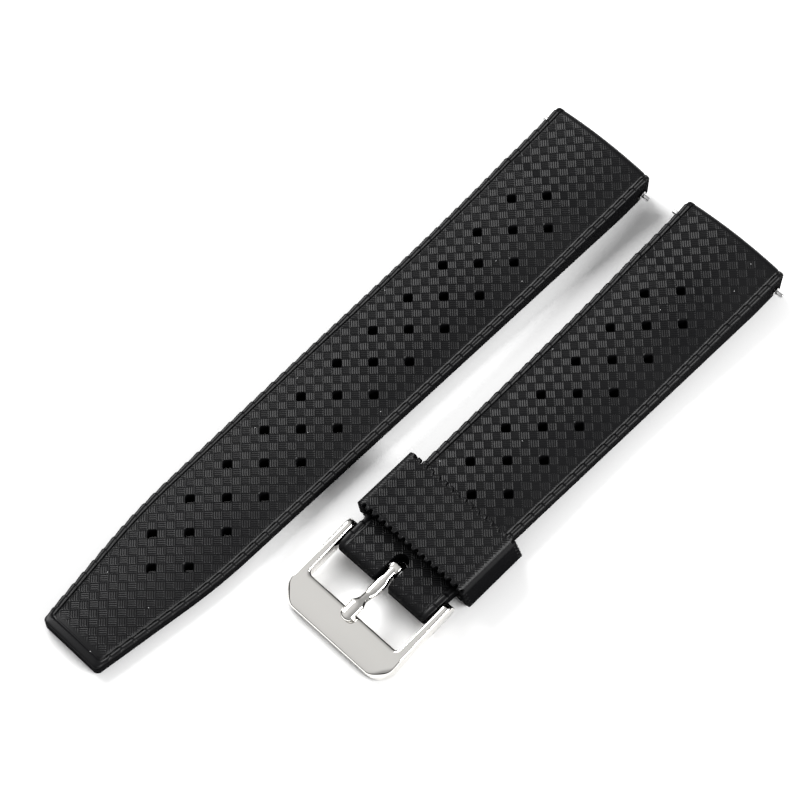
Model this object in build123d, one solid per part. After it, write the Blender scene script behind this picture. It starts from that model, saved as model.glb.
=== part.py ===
from build123d import *
from math import asin, atan2, degrees, hypot, sqrt
import os

# Two-piece rubber dive strap with a rubber keeper loop, a steel pin buckle and three spring bars.
# Millimetres. The two halves lie side by side on a table at z = 0, outer face up.
# +X runs along the straps from the watch end to the free end, +Y across them, from the long to the short half.
# The origin is below the middle of the whole layout.

# Layout on the table
halves_spacing = 27.0
short_half_setback = 1.2

# Watch end of both halves
lug_gap = 20.0
lug_side_clearance = 0.15
lug_thickness = 5.3
lug_corner_radius = 0.8
lug_rise = 1.2
lug_rise_length = 11.7
lug_rise_power = 1.2
lug_edge_radius = 1.5
lug_edge_shares = (0.06, 0.2, 0.5, 1)
lug_under_lift = 0.9
lug_under_run = 6.5
lug_under_radius = 1.3
lug_bar_inset = 2.1
lug_bar_height = 2.35
thick_end_length = 13.7
thickness_run_out = 44.0
run_out_power = 3
mid_thickness = 3.2

# Outer face and edge roll
crown_radius = 58.0
side_foot = 0.3
roll_width = 0.85
roll_flank = 0.18
roll_rise = 0.12
groove_width = 0.28
groove_depth = 0.4
groove_flank = 0.12
scallop_pitch = 2.35
scallop_depth = 0.16
scallop_end_margin = 1.6
scallop_low_share = 0.2
scallop_step_share = 0.82

# Square perforations, one cell of the weave each
hole_pitch = 8.0
hole_side = 1.4
hole_corner = 0.2
hole_row_offset = 4.0

# Long half
long_length = 119.1
long_first_hole = 14.2
long_hole_count = 12
long_tail_width = 17.7
long_straight_length = 90.7
long_bend_length = 12.0
long_tip_width = 11.6
long_tip_thickness = 2.6
long_tip_corner = 0.8
tip_lip_length = 1.3
tip_lip_rise = 0.16
tip_line_depth = 0.05
tip_groove_width = 0.36

# Short half
short_length = 81.9
short_first_hole = 13.95
short_hole_count = 7
short_end_width = 17.9
short_end_thickness = 3.0
short_end_corner = 0.6
buckle_bar_setback = 3.5

# Slot for the tongue
slot_width = 2.6
slot_depth = 5.8
slot_mouth_radius = 0.7

# Keeper loop
keeper_length = 11.8
keeper_setback = 6.9
keeper_wall = 1.3
keeper_height = 7.7
keeper_top_width = 21.6
keeper_base_width = 23.2
keeper_top_radius = 1.7
keeper_base_radius = 1.1
keeper_lean = 1.4
keeper_rest_clearance = 0.08
keeper_tooth_pitch = 1.35
keeper_notch_width = 0.62
keeper_notch_depth = 0.42

# Spring bars
bar_diameter = 1.8
bar_wall = 0.15
bar_neck_length = 0.4
bar_tunnel_clearance = 0.05
stem_diameter = 1.14
stem_running_clearance = 0.05
tip_head_length = 0.8
tip_head_clearance = 0.05
tip_seat_clearance = 0.05
tip_collar_diameter = 1.4
tip_collar_length = 0.3
pivot_diameter = 0.8
pivot_running_clearance = 0.05
pivot_end_chamfer = 0.12
lug_pivot_length = 1.3
lug_tip_travel = 1.2
buckle_pivot_length = 0.95
buckle_tip_travel = 1.05
spring_wire = 0.2
spring_side_clearance = 0.08
spring_turns = 8

# Buckle frame
frame_side_clearance = 0.3
frame_arm_thickness = 1.45
frame_arm_height = 2.9
frame_plate_inner = 9.2
frame_length = 14.7
frame_plate_thickness = 1.5
frame_outer_corner = 3.2
frame_inner_corner = 0.8
frame_nose_drop = 1.1
frame_foot_radius = 0.6
frame_edge_round = 0.35
frame_front_round = 0.3
frame_blind_extra = 0.1

# Tongue
tongue_ring_diameter = 3.0
tongue_ring_clearance = 0.06
tongue_neck_width = 1.5
tongue_ring_width = 2.0
tongue_bulge_start = 3.0
tongue_bulge_end = 4.8
tongue_bulge_width = 2.0
tongue_waist_start = 5.6
tongue_waist_end = 7.2
tongue_waist_width = 1.45
tongue_tip_start = 8.1
tongue_tip_end = 11.2
tongue_tip_width = 2.35
tongue_tip_thickness = 1.35
tongue_tip_round_share = 0.3
tongue_body_thickness = 1.3
tongue_waist_thickness = 1.1
tongue_corner_share = 0.36
tongue_ring_round = 0.3
tongue_rest_clearance = 0.03

# Shared overrun of every cutting tool
overrun = 3.0


def strap_lug_width():
    """Width of both halves at the watch end."""
    return lug_gap - 2 * lug_side_clearance


def long_half_width(x):
    """Half the width of the long half: a straight taper, a gentle bend, then a straight taper to the tip."""
    lug_half = strap_lug_width() / 2
    first_slope = (long_tail_width / 2 - lug_half) / long_straight_length
    tip_run = long_length - long_straight_length
    last_slope_run = tip_run - long_bend_length / 2
    tip_drop = lug_half + first_slope * long_length - long_tip_width / 2
    extra_slope = tip_drop / last_slope_run
    past = min(max(x - long_straight_length, 0), tip_run)
    bent = min(past, long_bend_length)
    drop = extra_slope * (bent ** 2 / (2 * long_bend_length) + (past - bent))
    return lug_half + first_slope * x - drop


def short_half_width(x):
    """Half the width of the short half: one straight taper."""
    lug_half = strap_lug_width() / 2
    return lug_half + (short_end_width / 2 - lug_half) * x / short_length


def lug_addition(x):
    """What the watch end adds to the thickness: a rise towards the end, less the rounding of its upper edge."""
    rise = lug_rise * max(1 - x / lug_rise_length, 0) ** lug_rise_power
    inside = max(lug_edge_radius - x, 0)
    return rise - lug_edge_radius + sqrt(lug_edge_radius ** 2 - inside ** 2)


def strap_thickness(x, length, end_thickness):
    """Height of the outer face on the centre line: high at the bar, a curved run-out, then a slow straight taper."""
    run_out_end = thick_end_length + thickness_run_out
    if x < run_out_end:
        left_share = (run_out_end - max(x, thick_end_length)) / thickness_run_out
        run_out = (lug_thickness - mid_thickness) * left_share ** run_out_power
        return mid_thickness + run_out + lug_addition(x)
    return mid_thickness + (end_thickness - mid_thickness) * (x - run_out_end) / (length - run_out_end)


def crown_drop(y):
    """How far the outer face lies below its centre line at a distance y from it."""
    return crown_radius - sqrt(crown_radius ** 2 - y ** 2)


def strap_section(x, half, thickness, bump_share, face_lift, floor_lift):
    """Closed outline across a strap: flat back, plain sides, rolled edges, grooves and a crowned face.

    The crowned face and the groove floor can be lifted or sunk from their usual height."""
    field = half - roll_width - groove_width
    usual_edge = thickness - crown_drop(field)
    field_edge = usual_edge + face_lift
    floor = usual_edge - groove_depth + floor_lift
    roll_top = usual_edge + roll_rise
    bump = scallop_depth * bump_share
    right = [
        (half - side_foot, 0),
        (half, side_foot),
        (half, roll_top - roll_width / 2),
        (half + bump, roll_top - 2 * roll_flank),
        (half - roll_flank + bump / 2, roll_top + bump / 2),
        (half - roll_width / 2 - roll_flank, roll_top + bump / 2),
        (half - roll_width, roll_top - roll_flank),
        (half - roll_width, floor),
        (field + groove_flank, floor),
        (field, field_edge),
    ]
    left = [(-y, z) for y, z in reversed(right)]
    side_up = Polyline(*[(x, y, z) for y, z in right])
    crown = ThreePointArc((x, field, field_edge), (x, 0, thickness + face_lift), (x, -field, field_edge))
    side_down = Polyline(*[(x, y, z) for y, z in left])
    back = Line((x, -half + side_foot, 0), (x, half - side_foot, 0))
    return Wire(side_up.edges() + crown.edges() + side_down.edges() + back.edges())


def scallop_stations(length, band_length):
    """Places along a strap with the height of the scallop there, two for each, up to a plain band at the end."""
    count = int((length - scallop_end_margin - band_length) / scallop_pitch)
    stations = [(0, 0, 0, 0)] + [(share * lug_edge_radius, 0, 0, 0) for share in lug_edge_shares]
    for index in range(count):
        start = scallop_end_margin + index * scallop_pitch
        stations.append((start, 1, 0, 0))
        stations.append((start + scallop_step_share * scallop_pitch, scallop_low_share, 0, 0))
    return stations


def tip_stations(length):
    """Places at the long half's tip, where a groove and a raised lip run from edge to edge."""
    lip_start = length - tip_lip_length
    floor_lift = groove_depth + roll_rise - roll_flank - tip_line_depth
    return [
        (lip_start - tip_groove_width, 0, 0, 0),
        (lip_start - tip_groove_width + groove_flank, 0, -groove_depth, 0),
        (lip_start - groove_flank, 0, -groove_depth, 0),
        (lip_start, 0, tip_lip_rise, floor_lift),
        (length, 0, tip_lip_rise, floor_lift),
    ]


def strap_blank(stations, length, half_width, end_thickness):
    """Ruled loft through the sections of one strap."""
    sections = []
    for x, bump_share, face_lift, floor_lift in stations:
        thickness = strap_thickness(x, length, end_thickness)
        sections.append(strap_section(x, half_width(x), thickness, bump_share, face_lift, floor_lift))
    return Solid.make_loft(sections, ruled=True)


def end_rounding(length, far_radius):
    """Side view that shapes the ends: the watch end's back slopes up, and the far end is half round if it has a radius."""
    tall = lug_thickness + overrun
    wide = lug_gap + 2 * overrun
    far_start = length - far_radius
    corners = [(0, lug_under_lift), (lug_under_run, 0), (far_start, 0), (far_start, tall), (0, tall)]
    side_view = make_face(Polyline(*corners, close=True))
    lower_corner = side_view.vertices().sort_by(Axis.X)[:2].sort_by(Axis.Y)[0]
    side_view = fillet(lower_corner, lug_under_radius)
    if far_radius > 0:
        side_view += Pos(far_start, far_radius) * Circle(far_radius)
    upright = Plane.XZ * side_view
    return extrude(upright, amount=wide / 2, both=True)


def corner_cutter(x, y, radius, x_sign, y_sign):
    """Tool that rounds one upright corner of a strap, seen from above."""
    tall = lug_thickness + 2 * overrun
    block = Box(radius + overrun, radius + overrun, tall)
    centre = (x - x_sign * radius, y - y_sign * radius)
    shift = (radius + overrun) / 2
    block = Pos(centre[0] + x_sign * shift, centre[1] + y_sign * shift, lug_thickness / 2) * block
    return block - Pos(centre[0], centre[1], lug_thickness / 2) * Cylinder(radius, tall)


def corner_cutters(x, half, radius, x_sign):
    """The same tool on both sides of a strap."""
    return [corner_cutter(x, side * half, radius, x_sign, side) for side in (-1, 1)]


def hole_places(first, count):
    """Middle row of holes, and a pair of holes between each two of them."""
    places = [(first + index * hole_pitch, 0) for index in range(count)]
    for index in range(count - 1):
        between = first + (index + 1 / 2) * hole_pitch
        places.append((between, -hole_row_offset))
        places.append((between, hole_row_offset))
    return places


def hole_cutters(first, count):
    """Square prisms standing on one corner."""
    tall = lug_thickness + 2 * overrun
    square = Rot(0, 0, 45) * RectangleRounded(hole_side, hole_side, hole_corner)
    prism = extrude(square, amount=tall)
    return [Pos(x, y, -overrun) * prism for x, y in hole_places(first, count)]


def tunnel_cutter(x, z):
    """Round tunnel across a strap for a spring bar."""
    radius = bar_diameter / 2 + bar_tunnel_clearance
    return Pos(x, 0, z) * Rot(90, 0, 0) * Cylinder(radius, lug_gap + 2 * overrun)


def make_long_strap():
    """The long half, with its perforations and tapered tip."""
    stations = scallop_stations(long_length, tip_lip_length + tip_groove_width) + tip_stations(long_length)
    blank = strap_blank(stations, long_length, long_half_width, long_tip_thickness)
    strap = blank & end_rounding(long_length, 0)
    strap -= hole_cutters(long_first_hole, long_hole_count)
    strap -= corner_cutters(0, strap_lug_width() / 2, lug_corner_radius, -1)
    strap -= corner_cutters(long_length, long_tip_width / 2, long_tip_corner, 1)
    return strap - tunnel_cutter(lug_bar_inset, lug_bar_height)


def slot_cutter():
    """Open slot in the end of the short half, with a round inner end and rounded mouth corners."""
    tall = lug_thickness + 2 * overrun
    inner = short_length - slot_depth + slot_width / 2
    run = short_length - inner
    outline = Pos(inner + (run + overrun) / 2, 0) * Rectangle(run + overrun, slot_width)
    outline += Pos(inner, 0) * Circle(slot_width / 2)
    mouth = Pos(short_length, 0) * Rectangle(2 * slot_mouth_radius, slot_width + 2 * slot_mouth_radius)
    for side in (-1, 1):
        centre_y = side * (slot_width / 2 + slot_mouth_radius)
        mouth -= Pos(short_length - slot_mouth_radius, centre_y) * Circle(slot_mouth_radius)
    return Pos(0, 0, -overrun) * extrude(outline + mouth, amount=tall)


def make_short_strap():
    """The short half, with its perforations, tongue slot and the tunnels of two bars."""
    stations = scallop_stations(short_length, scallop_end_margin) + [(short_length, 0, 0, 0)]
    blank = strap_blank(stations, short_length, short_half_width, short_end_thickness)
    end_nose = short_end_thickness / 2
    strap = blank & end_rounding(short_length, end_nose)
    strap -= hole_cutters(short_first_hole, short_hole_count)
    strap -= corner_cutters(0, strap_lug_width() / 2, lug_corner_radius, -1)
    strap -= corner_cutters(short_length, short_end_width / 2, short_end_corner, 1)
    strap -= slot_cutter()
    bar_x = short_length - buckle_bar_setback
    return strap - [tunnel_cutter(lug_bar_inset, lug_bar_height), tunnel_cutter(bar_x, end_nose)]


def keeper_ring_face():
    """Cross-section of the keeper loop, wider at its base, in the YZ plane."""
    top_half = keeper_top_width / 2
    base_half = keeper_base_width / 2
    corners = [(-base_half, 0), (base_half, 0), (top_half, keeper_height), (-top_half, keeper_height)]
    outer = make_face(Polyline(*corners, close=True))
    base = outer.vertices().sort_by(Axis.Y)[:2]
    outer = fillet(base, keeper_base_radius)
    top = [vertex for vertex in outer.vertices() if abs(vertex.Y - keeper_height) < keeper_wall / 4]
    outer = fillet(top, keeper_top_radius)
    return Plane.YZ * (outer - offset(outer, amount=-keeper_wall))


def keeper_x():
    """Where the loop starts along the short half, at its base."""
    return short_length - keeper_setback - keeper_length - keeper_lean / 2


def make_keeper():
    """Rubber loop, leaning a little towards the buckle, with toothed edges all round."""
    lean_angle = degrees(atan2(keeper_lean, keeper_height))
    reach = keeper_lean + overrun
    tube = Pos(-reach, 0, 0) * extrude(keeper_ring_face(), amount=keeper_length + 2 * reach)
    leaning = [(0, -overrun), (keeper_length, -overrun)]
    top = keeper_height + overrun
    slope = keeper_lean / keeper_height
    side_view = [(x + slope * z, z) for x, z in leaning] + [(x + slope * top, top) for x, z in reversed(leaning)]
    slab = extrude(Plane.XZ * make_face(Polyline(*side_view, close=True)), amount=keeper_base_width, both=True)
    loop = tube & slab
    return loop - keeper_notches(slope, lean_angle)


def keeper_notches(slope, lean_angle):
    """Round-bottomed notches along both edges of the loop, through its walls."""
    radius = keeper_notch_width / 2
    deep = keeper_notch_depth - radius
    across = int((keeper_top_width - 2 * keeper_top_radius) / keeper_tooth_pitch / 2)
    up = int((keeper_height - keeper_top_radius - keeper_base_radius) / keeper_tooth_pitch / 2)
    middle = keeper_height / 2
    tools = []
    for end, sign in ((0, 1), (keeper_length, -1)):
        for index in range(-across, across + 1):
            upright = Pos(end + sign * deep + slope * middle, index * keeper_tooth_pitch, middle)
            slotted = Cylinder(radius, keeper_height + 2 * overrun)
            slotted += Pos(-sign * radius, 0, 0) * Box(2 * radius, 2 * radius, keeper_height + 2 * overrun)
            tools.append(upright * Rot(0, lean_angle, 0) * slotted)
        for index in range(-up, up + 1):
            z = middle + index * keeper_tooth_pitch
            lying = Pos(end + sign * deep + slope * z, 0, z)
            slotted = Rot(90, 0, 0) * Cylinder(radius, keeper_base_width + 2 * overrun)
            slotted += Pos(-sign * radius, 0, 0) * Box(2 * radius, keeper_base_width + 2 * overrun, 2 * radius)
            tools.append(lying * slotted)
    return tools


def turned_along_y(steps):
    """Round piece about the Y axis from (start, end, radius) steps."""
    piece = None
    for start, end, radius in steps:
        step = Pos(0, (start + end) / 2, 0) * Rot(90, 0, 0) * Cylinder(radius, end - start)
        piece = step if piece is None else piece + step
    return piece


def make_bar_barrel(barrel_half):
    """Tube of a spring bar with a necked-in end on each side."""
    outer = turned_along_y([(-barrel_half, barrel_half, bar_diameter / 2)])
    room = barrel_half - bar_neck_length
    bore = turned_along_y([(-room, room, bar_diameter / 2 - bar_wall)])
    neck_radius = stem_diameter / 2 + stem_running_clearance
    necks = turned_along_y([(-barrel_half - overrun, barrel_half + overrun, neck_radius)])
    return outer - bore - necks


def head_outer_face(barrel_half):
    """Where the head of a tip stops inside the barrel's neck."""
    return barrel_half - bar_neck_length - tip_seat_clearance


def make_bar_tip(barrel_half, collar_start, pivot_length):
    """Plunger of a spring bar on its +Y side: head inside the barrel, stem, collar and pivot."""
    stop = head_outer_face(barrel_half)
    head_radius = bar_diameter / 2 - bar_wall - tip_head_clearance
    collar_end = collar_start + tip_collar_length
    tip = turned_along_y([
        (stop - tip_head_length, stop, head_radius),
        (stop, collar_start, stem_diameter / 2),
        (collar_start, collar_end, tip_collar_diameter / 2),
        (collar_end, collar_end + pivot_length, pivot_diameter / 2),
    ])
    outer_rim = tip.edges().filter_by(GeomType.CIRCLE).sort_by(Axis.Y)[-1]
    return chamfer(outer_rim, pivot_end_chamfer)


def make_bar_spring(barrel_half):
    """Coil between the two heads, one unbroken wire."""
    reach = head_outer_face(barrel_half) - tip_head_length - tip_seat_clearance - spring_wire / 2
    coil_radius = bar_diameter / 2 - bar_wall - spring_side_clearance - spring_wire / 2
    length = 2 * reach
    coil = Helix(pitch=length / spring_turns, height=length, radius=coil_radius)
    section = Plane(coil @ 0, z_dir=coil % 0) * Circle(spring_wire / 2)
    wire = sweep(section, path=coil)
    return Rot(-90, 0, 0) * Pos(0, 0, -reach) * wire


def spring_bar(prefix, carrier_half, pivot_length, travel, place):
    """All four pieces of one spring bar whose collars stand at carrier_half from its middle."""
    barrel_half = carrier_half - travel - tip_seat_clearance
    tip = make_bar_tip(barrel_half, carrier_half, pivot_length)
    return {
        prefix + "_bar_barrel": place * make_bar_barrel(barrel_half),
        prefix + "_bar_spring": place * make_bar_spring(barrel_half),
        prefix + "_bar_tip_right": place * tip,
        prefix + "_bar_tip_left": place * Rot(0, 0, 180) * tip,
    }


def frame_inner_half():
    """Half the gap between the buckle's arms."""
    return short_end_width / 2 + frame_side_clearance


def frame_outer_half():
    """Half the overall width of the buckle."""
    return frame_inner_half() + frame_arm_thickness


def frame_side_view():
    """Side outline of the buckle: round ears at the bar, straight arms, a nose that curves down to a round edge."""
    half = frame_arm_height / 2
    bend_start = frame_plate_inner
    foot = frame_foot_radius
    foot_top = -half + 2 * foot
    outline = Line((0, half), (bend_start, half))
    nose_mid_x = (bend_start + frame_length) / 2
    nose_end_z = half - frame_nose_drop
    sag = frame_nose_drop / 4
    outline += ThreePointArc((bend_start, half), (nose_mid_x, half - sag), (frame_length, nose_end_z))
    outline += Line((frame_length, nose_end_z), (frame_length, foot_top - foot))
    turn = foot * (1 - sqrt(1 / 2))
    outline += ThreePointArc(
        (frame_length, -half + foot),
        (frame_length - turn, -half + turn),
        (frame_length - foot, -half),
    )
    outline += Line((frame_length - foot, -half), (0, -half))
    outline += ThreePointArc((0, -half), (-half, 0), (0, half))
    side_view = make_face(outline)
    front_top = side_view.vertices().sort_by(Axis.X)[-2:].sort_by(Axis.Y)[-1]
    return fillet(front_top, frame_front_round)


def frame_tail_room():
    """Side view of the space under the plate, open to both ends, for the long half's tail."""
    half = frame_arm_height / 2
    under = half - frame_plate_thickness
    nose_mid_x = (frame_plate_inner + frame_length) / 2
    end_x = frame_length + overrun
    end_z = under - frame_nose_drop - overrun * 2 * frame_nose_drop / (frame_length - frame_plate_inner)
    start_x = frame_plate_inner - overrun
    roof = Line((start_x, under), (frame_plate_inner, under))
    roof += ThreePointArc(
        (frame_plate_inner, under),
        (nose_mid_x, under - frame_nose_drop / 4),
        (frame_length, under - frame_nose_drop),
    )
    roof += Line((frame_length, under - frame_nose_drop), (end_x, end_z))
    roof += Line((end_x, end_z), (end_x, -half - overrun - overrun))
    roof += Line((end_x, -half - overrun - overrun), (start_x, -half - overrun - overrun))
    roof += Line((start_x, -half - overrun - overrun), (start_x, under))
    return make_face(roof)


def frame_outer_form():
    """Outside form of the buckle before it is opened: rounded arm edges and broad plate corners."""
    outer = frame_outer_half()
    body = extrude(Plane.XZ * frame_side_view(), amount=outer, both=True)
    ends = body.faces().sort_by(Axis.Y)
    body = fillet(ends[0].edges() + ends[-1].edges(), frame_edge_round)
    plan_length = frame_length + overrun
    plan = Pos(frame_length - plan_length / 2, 0) * Rectangle(plan_length, 2 * outer)
    far = plan.vertices().sort_by(Axis.X)[-2:]
    plan = fillet(far, frame_outer_corner)
    return body & Pos(0, 0, -overrun) * extrude(plan, amount=2 * overrun)


def make_buckle_frame():
    """Steel frame about its bar axis: two arms with blind pivot holes and a broad curved plate."""
    inner = frame_inner_half()
    window_length = frame_plate_inner + overrun
    window = Pos(frame_plate_inner - window_length / 2, 0) * Rectangle(window_length, 2 * inner)
    deep = window.vertices().sort_by(Axis.X)[-2:]
    window = fillet(deep, frame_inner_corner)
    body = frame_outer_form() - Pos(0, 0, -overrun) * extrude(window, amount=2 * overrun)
    body -= extrude(Plane.XZ * frame_tail_room(), amount=inner, both=True)
    hole_radius = pivot_diameter / 2 + pivot_running_clearance
    blind = inner + buckle_pivot_length + frame_blind_extra
    return body - turned_along_y([(-blind, blind, hole_radius)])


def tongue_places():
    """Width, thickness and height of the tongue's middle at places along it: neck, bulge, rising waist, tip."""
    tip_rest = frame_arm_height / 2 + tongue_rest_clearance
    low = (tongue_ring_diameter - tongue_body_thickness) / 2
    high = tip_rest + tongue_tip_thickness / 2
    rise = (high - low) / (tongue_tip_start - tongue_bulge_end)
    tip_round = tongue_tip_width * tongue_tip_round_share
    end_share = 1 - tongue_tip_round_share
    return [
        (0, tongue_neck_width, tongue_body_thickness, low),
        (tongue_bulge_start - tongue_neck_width / 2, tongue_neck_width, tongue_body_thickness, low),
        (tongue_bulge_start, tongue_bulge_width, tongue_body_thickness, low),
        (tongue_bulge_end, tongue_bulge_width, tongue_body_thickness, low),
        (tongue_waist_start, tongue_waist_width, tongue_waist_thickness,
         low + rise * (tongue_waist_start - tongue_bulge_end)),
        (tongue_waist_end, tongue_waist_width, tongue_waist_thickness,
         low + rise * (tongue_waist_end - tongue_bulge_end)),
        (tongue_tip_start, tongue_tip_width, tongue_tip_thickness, high),
        (tongue_tip_end - tip_round, tongue_tip_width, tongue_tip_thickness, high),
        (tongue_tip_end, tongue_tip_width * end_share, tongue_tip_thickness * end_share, high),
    ]


def make_tongue():
    """Steel tongue about the bar axis: a ring round the bar and a ruled loft that comes to rest on the plate."""
    sections = []
    for x, width, thickness, height in tongue_places():
        across = Plane(origin=(x, 0, height), x_dir=(0, 1, 0), z_dir=(1, 0, 0))
        corner = tongue_corner_share * min(width, thickness)
        sections.append(across * RectangleRounded(width, thickness, corner))
    ring = Rot(90, 0, 0) * Cylinder(tongue_ring_diameter / 2, tongue_ring_width)
    ring = fillet(ring.edges().filter_by(GeomType.CIRCLE), tongue_ring_round)
    hole = Rot(90, 0, 0) * Cylinder(bar_diameter / 2 + tongue_ring_clearance, tongue_ring_width + overrun)
    return ring + loft(sections, ruled=True) - hole


def frame_pitch(bar_height):
    """Angle by which the buckle hangs down from the bar until its foot meets the table."""
    foot_x = frame_length - frame_foot_radius
    foot_z = -frame_arm_height / 2 + frame_foot_radius
    reach = hypot(foot_x, foot_z)
    return degrees(asin((bar_height - frame_foot_radius) / reach) + atan2(foot_z, foot_x))


def short_half_tilt():
    """Angle by which the loop's base lifts the short half off the table."""
    lift = keeper_wall + keeper_rest_clearance
    return degrees(atan2(lift, keeper_x() - lug_under_run))


def layout():
    """Lean of the short half, places of its two bars, and the angle at which the buckle hangs."""
    tilt = short_half_tilt()
    pivot = Pos(lug_under_run, 0, 0) * Rot(0, -tilt, 0) * Pos(-lug_under_run, 0, 0)
    lug_bar = (pivot * Pos(lug_bar_inset, 0, lug_bar_height)).position
    bar = (pivot * Pos(short_length - buckle_bar_setback, 0, short_end_thickness / 2)).position
    pitch = frame_pitch(bar.Z)
    return pivot, lug_bar, bar, pitch


def main():
    """Build every piece in its place and write one file for each."""
    pivot, lug_bar, bar, pitch = layout()
    overall = short_half_setback + long_length
    long_start = overall / 2 - long_length
    short_start = -overall / 2
    long_place = Pos(long_start, -halves_spacing / 2, 0)
    short_place = Pos(short_start, halves_spacing / 2, 0)
    strap_half = strap_lug_width() / 2
    buckle_half = frame_inner_half() - tip_seat_clearance - tip_collar_length
    bar_place = short_place * Pos(bar)
    pieces = {
        "long_strap": long_place * make_long_strap(),
        "short_strap": short_place * pivot * make_short_strap(),
        "keeper_loop": short_place * Pos(keeper_x(), 0, 0) * make_keeper(),
        "buckle_frame": bar_place * Rot(0, pitch, 0) * make_buckle_frame(),
        "buckle_tongue": bar_place * Rot(0, pitch, 0) * make_tongue(),
    }
    long_bar_place = long_place * Pos(lug_bar_inset, 0, lug_bar_height)
    short_bar_place = short_place * Pos(lug_bar)
    pieces.update(spring_bar("long_lug", strap_half, lug_pivot_length, lug_tip_travel, long_bar_place))
    pieces.update(spring_bar("short_lug", strap_half, lug_pivot_length, lug_tip_travel, short_bar_place))
    pieces.update(spring_bar("buckle", buckle_half, buckle_pivot_length, buckle_tip_travel, bar_place))
    os.makedirs("parts", exist_ok=True)
    for name, piece in pieces.items():
        export_step(piece, f"parts/{name}.step")


main()
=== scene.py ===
from math import asin, atan2, cos, hypot, pi, radians, sin, sqrt, tan

import bmesh
import bpy
import numpy as np
from bpy.props import FloatProperty, FloatVectorProperty, IntProperty, PointerProperty
from mathutils import Matrix, Vector


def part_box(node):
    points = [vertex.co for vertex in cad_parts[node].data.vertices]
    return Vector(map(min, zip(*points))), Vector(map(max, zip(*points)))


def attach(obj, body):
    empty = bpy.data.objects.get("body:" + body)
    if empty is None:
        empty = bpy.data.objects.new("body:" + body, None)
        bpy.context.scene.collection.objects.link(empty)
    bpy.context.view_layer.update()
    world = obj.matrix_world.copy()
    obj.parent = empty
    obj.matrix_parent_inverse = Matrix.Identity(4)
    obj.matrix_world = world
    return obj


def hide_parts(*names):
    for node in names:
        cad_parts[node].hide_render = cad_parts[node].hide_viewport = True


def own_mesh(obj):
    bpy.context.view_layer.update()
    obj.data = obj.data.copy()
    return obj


bl_info = {
    "name": "Rubber Dive Strap",
    "version": (1, 0, 0),
    "blender": (4, 5, 0),
    "location": "View3D > Sidebar > Dive Strap",
    "description": "Builds the moulded halves, keeper loop, steel buckle and spring bars of a dive strap",
    "category": "Add Mesh",
}

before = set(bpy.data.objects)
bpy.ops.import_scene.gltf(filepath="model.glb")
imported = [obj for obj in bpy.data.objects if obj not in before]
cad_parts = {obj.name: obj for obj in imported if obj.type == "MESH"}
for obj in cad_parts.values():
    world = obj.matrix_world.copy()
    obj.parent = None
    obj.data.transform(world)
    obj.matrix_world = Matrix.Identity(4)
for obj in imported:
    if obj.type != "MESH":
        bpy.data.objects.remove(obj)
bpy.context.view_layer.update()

# A millimetre in metres, the distance at which points merge, the one at which they count as
# lying on the same line, and the depth of the weave's ridges as a share of its valleys'
MM = 0.001
TINY = 1e-9
CLOSE = TINY * 10
RIDGE_DEPTH = 0.35


def length(name, description, millimetres):
    """A length, given in millimetres and held in metres."""
    return FloatProperty(
        name=name, description=description, default=millimetres * MM, unit="LENGTH", precision=6
    )


def factor(name, description, default):
    """A share from nought to one."""
    return FloatProperty(
        name=name, description=description, default=default, min=0, max=1, subtype="FACTOR"
    )


def amount(name, description, default):
    """A plain number that isn't negative."""
    return FloatProperty(name=name, description=description, default=default, min=0)


def colour(name, description, default):
    """A colour, in linear light."""
    return FloatVectorProperty(
        name=name, description=description, default=default, min=0, max=1, size=3, subtype="COLOR"
    )


def whole(name, description, default, least=1):
    """A whole number."""
    return IntProperty(name=name, description=description, default=default, min=least)


def vector(name, description, default, subtype="DIRECTION"):
    """A direction, or a place in metres."""
    unit = "LENGTH" if subtype == "XYZ" else "NONE"
    return FloatVectorProperty(
        name=name, description=description, default=default, subtype=subtype, unit=unit
    )


class WeaveSizes(bpy.types.PropertyGroup):
    """Moulded pattern of square cells with fine parallel ridges."""

    cell_side: length("Cell side", "Side of one square cell", sqrt(2))
    cell_steps: whole("Steps in a cell", "Mesh steps across one cell", 8, 4)
    relief: length("Relief", "Height of the borders over the valleys", 0.07)
    edge_fade: length("Edge fade", "Distance from the groove over which the relief dies out", 0.25)
    lug_fade_start: length("Lug fade start", "Where the relief starts, from the watch end", 0.6)
    lug_fade_end: length("Lug fade end", "Where the relief is at its full height", 2.2)
    tip_fade: length("Tip fade", "Run over which the relief dies out before the free end", 1.4)


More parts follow.
